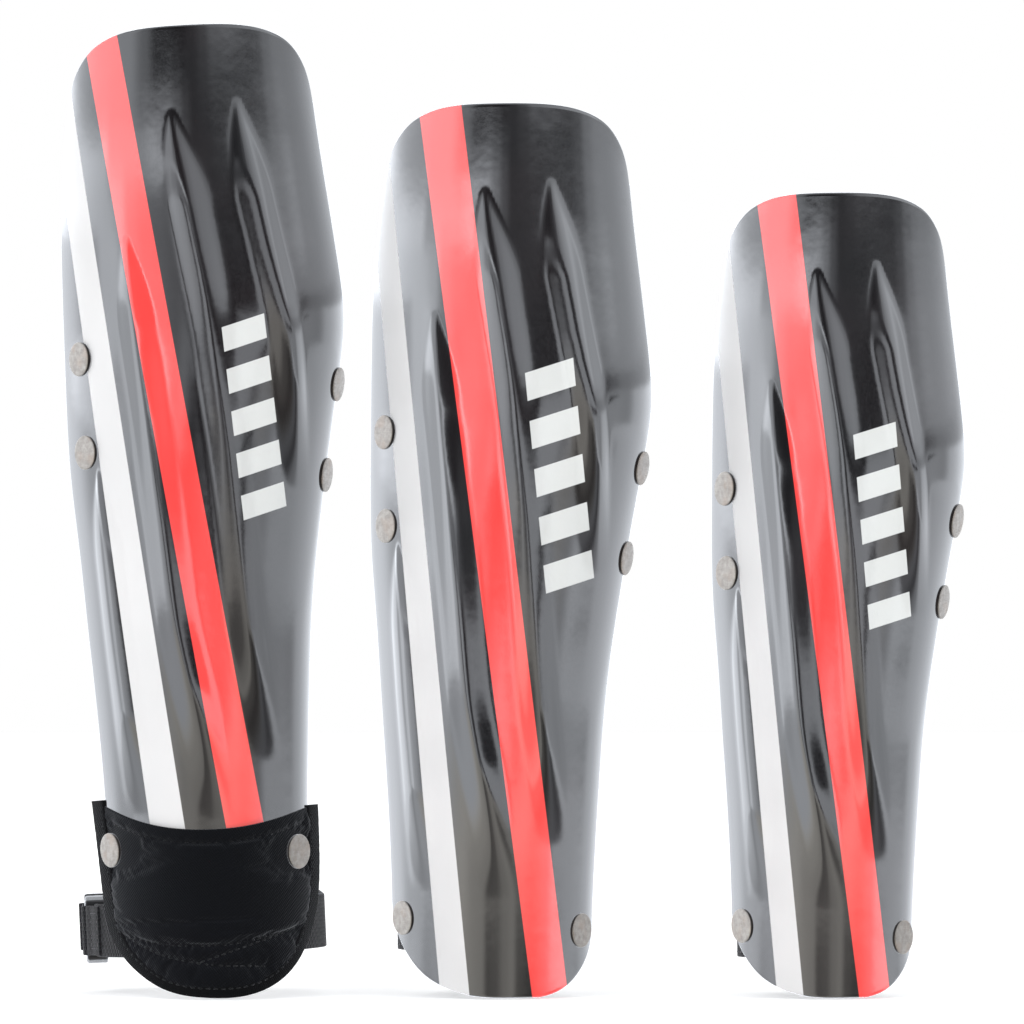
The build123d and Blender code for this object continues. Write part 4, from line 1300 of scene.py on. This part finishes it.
def flap_local(points):
    """Front-view points of the row frame to the flap's (x, z)."""
    inverse = np.array(world_matrix("long").inverted())
    p = np.array([(x, 0.0, z) for x, z in points])
    for _ in range(3):
        q = p @ inverse[:3, :3].T + inverse[:3, 3]
        u = flap_uz(q[:, [0, 2]])[:, 0]
        p[:, 1] += flap_xyz(u, q[:, 2], FLAP_OUT)[:, 1] - q[:, 1]
    return q[:, [0, 2]]


def flap_seams(free_edge):
    """Quilting curves and the hem below the top edge, in (x, z)."""
    hem = spline(FLAP_TOP) - np.array([0, 5.2])
    hem = hem[(hem[:, 0] > free_edge[0, 0] + 5) & (hem[:, 0] < free_edge[-1, 0] - 4)]
    return [spline(flap_local(line), 90) for line in QUILT_LINES], hem


def sewn(x, z, quilting, hem):
    """How far the cloth is drawn down, 0 to 1, near seams and rivets."""
    def distance(curve):
        p = np.stack([x, z], -1)[..., None, :]
        return np.sqrt(((p - curve[::3]) ** 2).sum(-1)).min(-1)
    down = 0.8 * np.exp(-((distance(hem) / 1.3) ** 2))
    for curve in quilting:
        down = np.maximum(down, np.exp(-((distance(curve) / 1.5) ** 2)))
    for rivet_x, rivet_z in RIVETS["flap_left"] + RIVETS["flap_right"]:
        clear = np.maximum(0, np.hypot(x - rivet_x, z - rivet_z) - 7.0)
        down = np.maximum(down, np.exp(-((clear / 4.0) ** 2)))
    return down


def flap_panel(free_edge, top_edge, quilting, hem):
    run = run_of(free_edge)
    # the free edge is split into the left, bottom and right sides of the grid
    a, b = np.searchsorted(run, run[-1] * 0.36), np.searchsorted(run, run[-1] * 0.64)
    bounds = [flap_uz(curve) for curve in (free_edge[a:b + 1], top_edge,
                                           free_edge[:a + 1][::-1], free_edge[b:])]

    # the outer layer is simulated between its seams
    coarse = coons(*bounds, 49, 61)
    sheet = flap_xyz(coarse[..., 0], coarse[..., 1], FLAP_OUT - 0.5)
    normals = unit(flap_xyz(coarse[..., 0], coarse[..., 1], FLAP_OUT + 1.0) - sheet)
    pinned = sewn(sheet[..., 0], sheet[..., 2], quilting, hem) > 0.6
    pinned[[0, -1], :] = True
    pinned[:, [0, -1]] = True
    swell = inflate("flap_sim", sheet / 1000, pinned, normals, cap=0.0016) * 1000

    rows, cols = 147, 183
    fine = coons(*bounds, rows, cols)
    u, z = fine[..., 0], fine[..., 1]
    x = flap_xyz(u, z, FLAP_OUT)[..., 0]
    down = sewn(x, z, quilting, hem)
    r, c = np.linspace(0, 1, rows)[:, None], np.linspace(0, 1, cols)[None]
    soft = ease(np.minimum(np.minimum(r, 1 - r) * 75, np.minimum(c, 1 - c) * 95) / 5.0)
    # low waves, stronger towards the foot
    wave = 0.45 * np.sin(x / 6.3 + z / 9.0 + 0.8 * np.sin(z / 7.0))
    wave = wave * np.exp(-(((z + 22) / 15.0) ** 2)) + 0.35 * np.sin(x / 11.0 - z / 5.0)
    offset = FLAP_OUT - 0.35 - 0.75 * down * soft + 0.25 * wave * soft * (1 - down)
    outer = flap_xyz(u, z, offset) + resample(swell, rows, cols) * soft[..., None]
    inner = flap_xyz(u, z, FLAP_GAP + 0.25)
    return sheet_object("long_flap_cloth", "long", outer, inner, np.radians(u) * 45.0, z,
                        TWILL, bulge=0.7)


def flap_binding(edge):
    """Tape folded over the free edge."""
    count = len(edge)
    inward = left_normals(edge)
    middle, half = (BIND_TOP + BIND_BACK) / 2, (BIND_TOP - BIND_BACK) / 2
    # (distance in from the edge, offset from the shell) round the tape's section
    profile = [(BIND_W, FLAP_OUT - 0.25), (4.9, FLAP_OUT + 0.12), (4.3, BIND_TOP),
               (3.0, BIND_TOP + 0.10), (1.8, BIND_TOP + 0.06), (0.8, BIND_TOP - 0.12)]
    for angle in np.linspace(60, -60, 7):
        profile.append((0.75 - 0.75 * math.cos(R(angle)) * 1.15,
                        middle + half * math.sin(R(angle))))
    profile += [(0.9, BIND_BACK + 0.05), (2.2, BIND_BACK), (4.4, BIND_BACK),
                (4.9, BIND_BACK + 0.2), (BIND_W, BIND_BACK + 0.5)]
    steps = np.arange(count)
    ripple = 0.10 * np.sin(steps * 0.9) + 0.07 * np.sin(steps * 0.37 + 1.0)
    grid = []
    for distance, offset in profile:
        shift = distance + ripple * (0.5 if distance > 3 else 0)
        u, z = flap_uz(edge + inward * shift[:, None]).T
        grid.append(flap_xyz(u, z, offset + ripple * (0.35 if offset > middle else 0)))
    index = np.arange(len(profile) * count).reshape(len(profile), count)
    faces = [*quads(np.concatenate([index, index[:1]])), index[::-1, 0], index[:, -1]]
    attrs = dict(wu=np.tile(run_of(edge), len(profile)) / 1000,
                 wv=np.repeat([distance for distance, _ in profile], count) / 1000)
    verts = np.array(grid).reshape(-1, 3)
    return make("long_flap_tape", to_world("long", verts), faces, TAPE, None, attrs)


def flap_threads(edge, quilting, hem):
    def seam(curve, offset, style):
        u, z = flap_uz(curve).T
        points = flap_xyz(u, z, offset)
        return stitches(points, unit(flap_xyz(u, z, offset + 1.0) - points), **style)

    parts = [seam(curve, FLAP_OUT - 0.95, QUILT_STITCH) for curve in quilting + [hem]]
    beside = (edge + left_normals(edge) * 3.9)[6:-6]
    parts.append(seam(beside, BIND_TOP + 0.05, BINDING_STITCH))
    return thread_object("long_flap_thread", "long", parts, THREAD)


def build_flap():
    free_edge, top_edge = flap_outline()
    quilting, hem = flap_seams(free_edge)
    edge = spline(FLAP_EDGE, 420)
    cloth = flap_panel(free_edge, top_edge, quilting, hem)
    tape = flap_binding(edge)
    threads = flap_threads(edge, quilting, hem)
    for ob in (cloth, tape, threads):
        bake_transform(ob)
    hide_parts("long_flap_panel", "long_flap_tongue")
    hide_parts("long_flap_binding", "long_flap_tongue_binding")


def build_boot_strap():
    """The long guard's ankle strap. Its buckle sits on the left, so the right part goes round."""
    near, far = boot_path(-1), boot_path(1)
    cut_tail = int(np.argmax(near[:, 1] > BOOT_BUCKLE_Y + WEB_FROM))
    cut_plug = int(np.argmax(near[:, 1] > BOOT_BUCKLE_Y + WEB_TO))
    paths = near[:cut_tail], np.concatenate([far, near[cut_plug:-1][::-1]])
    rows = 15
    for (side, sign), path in zip(SIDES, paths):
        inside = path + sign * BAND_T * left_normals(path)
        z = np.linspace(BOOT_Z - WEB_H / 2, BOOT_Z + WEB_H / 2, rows)
        z = np.repeat(z[:, None], len(path), 1)
        outer, inner = (np.concatenate([np.repeat(line[None], rows, 0), z[..., None]], -1)
                        for line in (path, inside))
        if sign > 0:
            outer, inner, z = outer[::-1], inner[::-1], z[::-1]
        run = np.repeat(run_of(path)[None], rows, 0)
        node = f"long_ankle_strap_{side}"
        ob = sheet_object(f"{node}_cloth", "long", outer, inner, z, run, WEBBING)
        if side == "left":
            attach(ob, "long_guard", "webbing", node)
        else:
            origin, along, _ = buckle_frame("long", "ankle")
            start = to_world("long", np.array([40.0, BOOT_BUCKLE_Y, BOOT_Z]))
            end = to_world("long", origin + along * (PLUG_END + 10))
            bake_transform(ob)
            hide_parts(node)


for guard_name in GUARDS:
    build_shell(guard_name)
    build_liner(guard_name)
    build_rivets(guard_name)
    build_straps(guard_name)
build_flap()
build_boot_strap()

# the remaining CAD parts keep their shape; buckles and washers get their finish
for name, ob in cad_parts.items():
    finish = None
    if name.endswith(("_socket", "_plug", "_latch_top", "_latch_bottom")):
        finish = ACETAL
    elif name.endswith("_rivet_washers"):
        finish = NICKEL
    ob.visible_glossy = False
    if finish is not None:
        ob.data.materials.clear()
        ob.data.materials.append(finish)

# ================================================================ reflected studio
# (azimuth, brightness) in each band of elevation; azimuth is 0 towards -y and + towards +x
SKY_TOP = [
    (-180, 4.0), (-90, 3.0), (-56, 2.9), (-40, 1.4), (-28, 0.2), (-4, 0.1), (6, 0.3), (16, 0.7),
    (26, 1.6), (44, 2.2), (66, 2.7), (84, 2.9), (94, 3.4), (104, 2.4), (124, 1.9), (180, 4.0)]
SKY_HIGH = [
    (-180, 5.5), (-150, 5.0), (-125, 5.4), (-100, 6.4), (-80, 6.1), (-72, 3.6), (-58, 3.4),
    (-44, 3.6), (-30, 4.9), (-18, 4.2), (-9, 2.2), (-2, 0.9), (5, 0.28), (28, 0.28), (38, 0.35),
    (60, 0.35), (70, 0.7), (80, 1.7), (90, 2.1), (120, 1.9), (150, 1.8), (180, 4.5)]
SKY_MID = [
    (-180, 5.5), (-150, 5.0), (-125, 6.4), (-112, 6.0), (-75, 5.5), (-64, 4.6), (-54, 2.3),
    (-42, 1.6), (-30, 1.3), (-20, 1.0), (-13, 1.6), (-6, 0.8), (2, 0.45), (10, 0.2), (30, 0.03),
    (60, 0.1), (82, 0.25), (90, 0.9), (100, 1.35), (125, 1.45), (150, 1.7), (180, 4.5)]
SKY_EVEN = [
    (-180, 4.5), (-145, 3.0), (-120, 4.1), (-104, 3.4), (-90, 3.8), (-82, 5.4), (-66, 6.0),
    (-58, 4.2), (-48, 3.4), (-38, 2.6), (-28, 2.7), (-18, 2.8), (-11, 1.3), (-5, 0.5), (2, 1.2),
    (7, 2.0), (20, 2.3), (40, 2.25), (60, 2.3), (72, 2.4), (90, 2.1), (106, 1.7), (118, 2.6),
    (140, 3.0), (160, 3.8), (180, 4.6)]
SKY_LOW = [
    (-180, 4.0), (-140, 2.9), (-124, 3.9), (-104, 4.9), (-92, 4.0), (-80, 2.8), (-64, 3.2),
    (-48, 2.9), (-34, 2.9), (-20, 2.1), (0, 1.85), (30, 1.75), (44, 1.3), (60, 1.7), (72, 3.3),
    (100, 2.9), (150, 2.6), (180, 3.2)]
SKY_FLOOR = [
    (-180, 4.0), (-132, 3.0), (-100, 3.1), (-84, 2.5), (-66, 3.2), (-50, 3.2), (-28, 2.2),
    (-12, 1.8), (-5, 0.6), (4, 0.7), (14, 1.4), (22, 1.7), (30, 0.6), (44, 0.3), (66, 0.8),
    (80, 0.4), (92, 1.4), (102, 2.7), (150, 2.6), (180, 3.2)]
SKY_FULL = 10.0        # brightness that a colour ramp's white stands for


def sky_band(net, azimuth, stops):
    node = net.node("ShaderNodeValToRGB")
    node.color_ramp.interpolation = "EASE"
    elements = node.color_ramp.elements
    while len(elements) < len(stops):
        elements.new(0.5)
    for element, (angle, _) in zip(elements, stops):
        element.position = (angle + 180.0) / 360.0
    for element, (_, value) in zip(elements, stops):
        element.color = (*[value / SKY_FULL] * 3, 1)
    net.put(node.inputs[0], (azimuth + 180.0) / 360.0)
    return Sock(net, node.outputs[0]) * SKY_FULL


def sky_glow(net, azimuth, elevation):
    """Brightness of the reflected studio, angles in degrees."""
    top, high, mid, even, low, ground = (
        sky_band(net, azimuth, stops)
        for stops in (SKY_TOP, SKY_HIGH, SKY_MID, SKY_EVEN, SKY_LOW, SKY_FLOOR))
    left_zone = (net.ramp(azimuth, start=-72.0, end=-56.0)
                 * net.ramp(azimuth, start=-8.0, end=-18.0))
    raised = elevation + left_zone * 1.7
    glow = high + (top - high) * net.ramp(elevation, start=6.0, end=7.2)
    glow = mid + (glow - mid) * net.ramp(elevation, start=4.2, end=5.3)
    glow = even + (glow - even) * net.ramp(raised, start=1.9, end=3.1)

    def flag(centre, half, bottom, ceiling, depth):
        """Factor of a thin dark flag about an azimuth, between two elevations."""
        off = net.math("ABSOLUTE", azimuth - centre)
        side = net.ramp(off, start=half, end=half + 4.0, low=1.0, high=0.0)
        rise = net.ramp(elevation, start=bottom - 0.6, end=bottom)
        fall = net.ramp(elevation, start=ceiling + 0.6, end=ceiling)
        return 1.0 - side * rise * fall * depth

    # the flags lean with elevation
    glow = glow * flag(elevation * 10.0 + 76.0, half=3.5, bottom=-2.8, ceiling=1.2, depth=1.0)
    glow = glow * flag(-2.7 - elevation * 7.1, half=4.5, bottom=-4.3, ceiling=1.4, depth=0.95)
    glow = glow * flag(-38.0 - elevation * 4.0, half=2.5, bottom=-4.2, ceiling=1.0, depth=0.75)
    glow = low + (glow - low) * net.ramp(elevation, start=-4.9, end=-4.0)
    glow = ground + (glow - ground) * net.ramp(elevation, start=-7.0, end=-5.8)
    # plain panels overhead and underfoot
    far = net.ramp(net.math("ABSOLUTE", elevation), start=25.0, end=50.0)
    return glow * (1.0 - far) + far * 1.8


def build_world():
    """Glossy rays see the studio, the camera plain white and all other rays a soft light."""
    world = bpy.data.worlds.new("studio")
    world.use_nodes = True
    bpy.context.scene.world = world
    net = Net(world.node_tree)
    coords = net.node("ShaderNodeTexCoord").outputs["Generated"]
    axes = net.node("ShaderNodeSeparateXYZ", Vector=coords)
    x, y, z = (Sock(net, out) for out in axes.outputs)
    azimuth = net.math("ARCTAN2", x, y * -1.0) * (180 / math.pi)
    elevation = net.math("ARCSINE", z) * (180 / math.pi)
    glow = sky_glow(net, azimuth, elevation)
    off_middle = net.math("ABSOLUTE", azimuth - 5.0)
    warm_zone = (net.ramp(elevation, start=-3.0, end=-5.5)
                 * net.ramp(off_middle, start=62.0, end=40.0))
    cool, warm = (0.955, 0.995, 1.06), (1.03, 1.0, 0.93)

    def background(colour, strength):
        return net.node("ShaderNodeBackground", Color=colour, Strength=strength).outputs[0]

    def switch(factor, first, second):
        node = net.node("ShaderNodeMixShader")
        for socket, value in zip(node.inputs, (factor, first, second)):
            net.put(socket, value)
        return node.outputs[0]

    rays = net.node("ShaderNodeLightPath").outputs
    studio = background(net.mix(warm_zone, cool, warm), glow)
    white = background((1, 1, 1), 1.0)
    soft = background((1, 1, 1), net.ramp(y, start=0.8, end=-0.9, low=0.72, high=1.02))
    unseen = switch(rays["Is Glossy Ray"], soft, studio)
    shown = switch(rays["Is Camera Ray"], unseen, white)
    net.node("ShaderNodeOutputWorld", Surface=shown)


build_world()


# ================================================================ floor, lights, camera
def build_floor():
    mat, net = material("studio_floor")
    net.surface(Base_Color=(0.93, 0.93, 0.93), Roughness=0.8, Emission_Color=(1, 1, 1),
                Emission_Strength=0.22)
    z = -0.0006
    verts = [(-6, -3, z), (6, -3, z), (6, 6, z), (-6, 6, z)]
    make("studio_floor", verts, [(0, 1, 2, 3)], mat, smooth=False)


def light(name, where, size, power):
    """Square area light aimed at a point low in the middle of the row."""
    data = bpy.data.lights.new(name, "AREA")
    data.shape, data.size, data.size_y, data.energy = "RECTANGLE", size, size, power
    ob = bpy.data.objects.new(name, data)
    bpy.context.scene.collection.objects.link(ob)
    ob.location = where
    ob.rotation_mode = "QUATERNION"
    ob.rotation_quaternion = (Vector((0, 0, 0.2)) - Vector(where)).to_track_quat("-Z", "Y")
    ob.visible_glossy = False
    ob.visible_camera = False


build_floor()
light("key", where=(-1.6, -2.2, 1.9), size=1.4, power=18)
light("fill", where=(1.8, -2.0, 1.0), size=1.6, power=7)
light("back", where=(0.2, 2.4, 1.8), size=1.6, power=14)

CAMERA_DISTANCE = 5.0
VIEW_WIDTH = 0.439296              # metres seen across at y = 0
VIEW_X, VIEW_Z = 0.001716, 0.208494
cam_data = bpy.data.cameras.new("camera")
cam = bpy.data.objects.new("camera", cam_data)
scene = bpy.context.scene
scene.collection.objects.link(cam)
cam_data.sensor_width = 36.0
cam_data.lens = cam_data.sensor_width * CAMERA_DISTANCE / VIEW_WIDTH
cam.location = (VIEW_X, -CAMERA_DISTANCE, VIEW_Z)
cam.rotation_euler = (math.pi / 2, 0, 0)
cam_data.clip_start, cam_data.clip_end = 0.1, 60
scene.camera = cam
scene.view_settings.view_transform = "Standard"
scene.view_settings.look = "None"
scene.cycles.max_bounces = 8
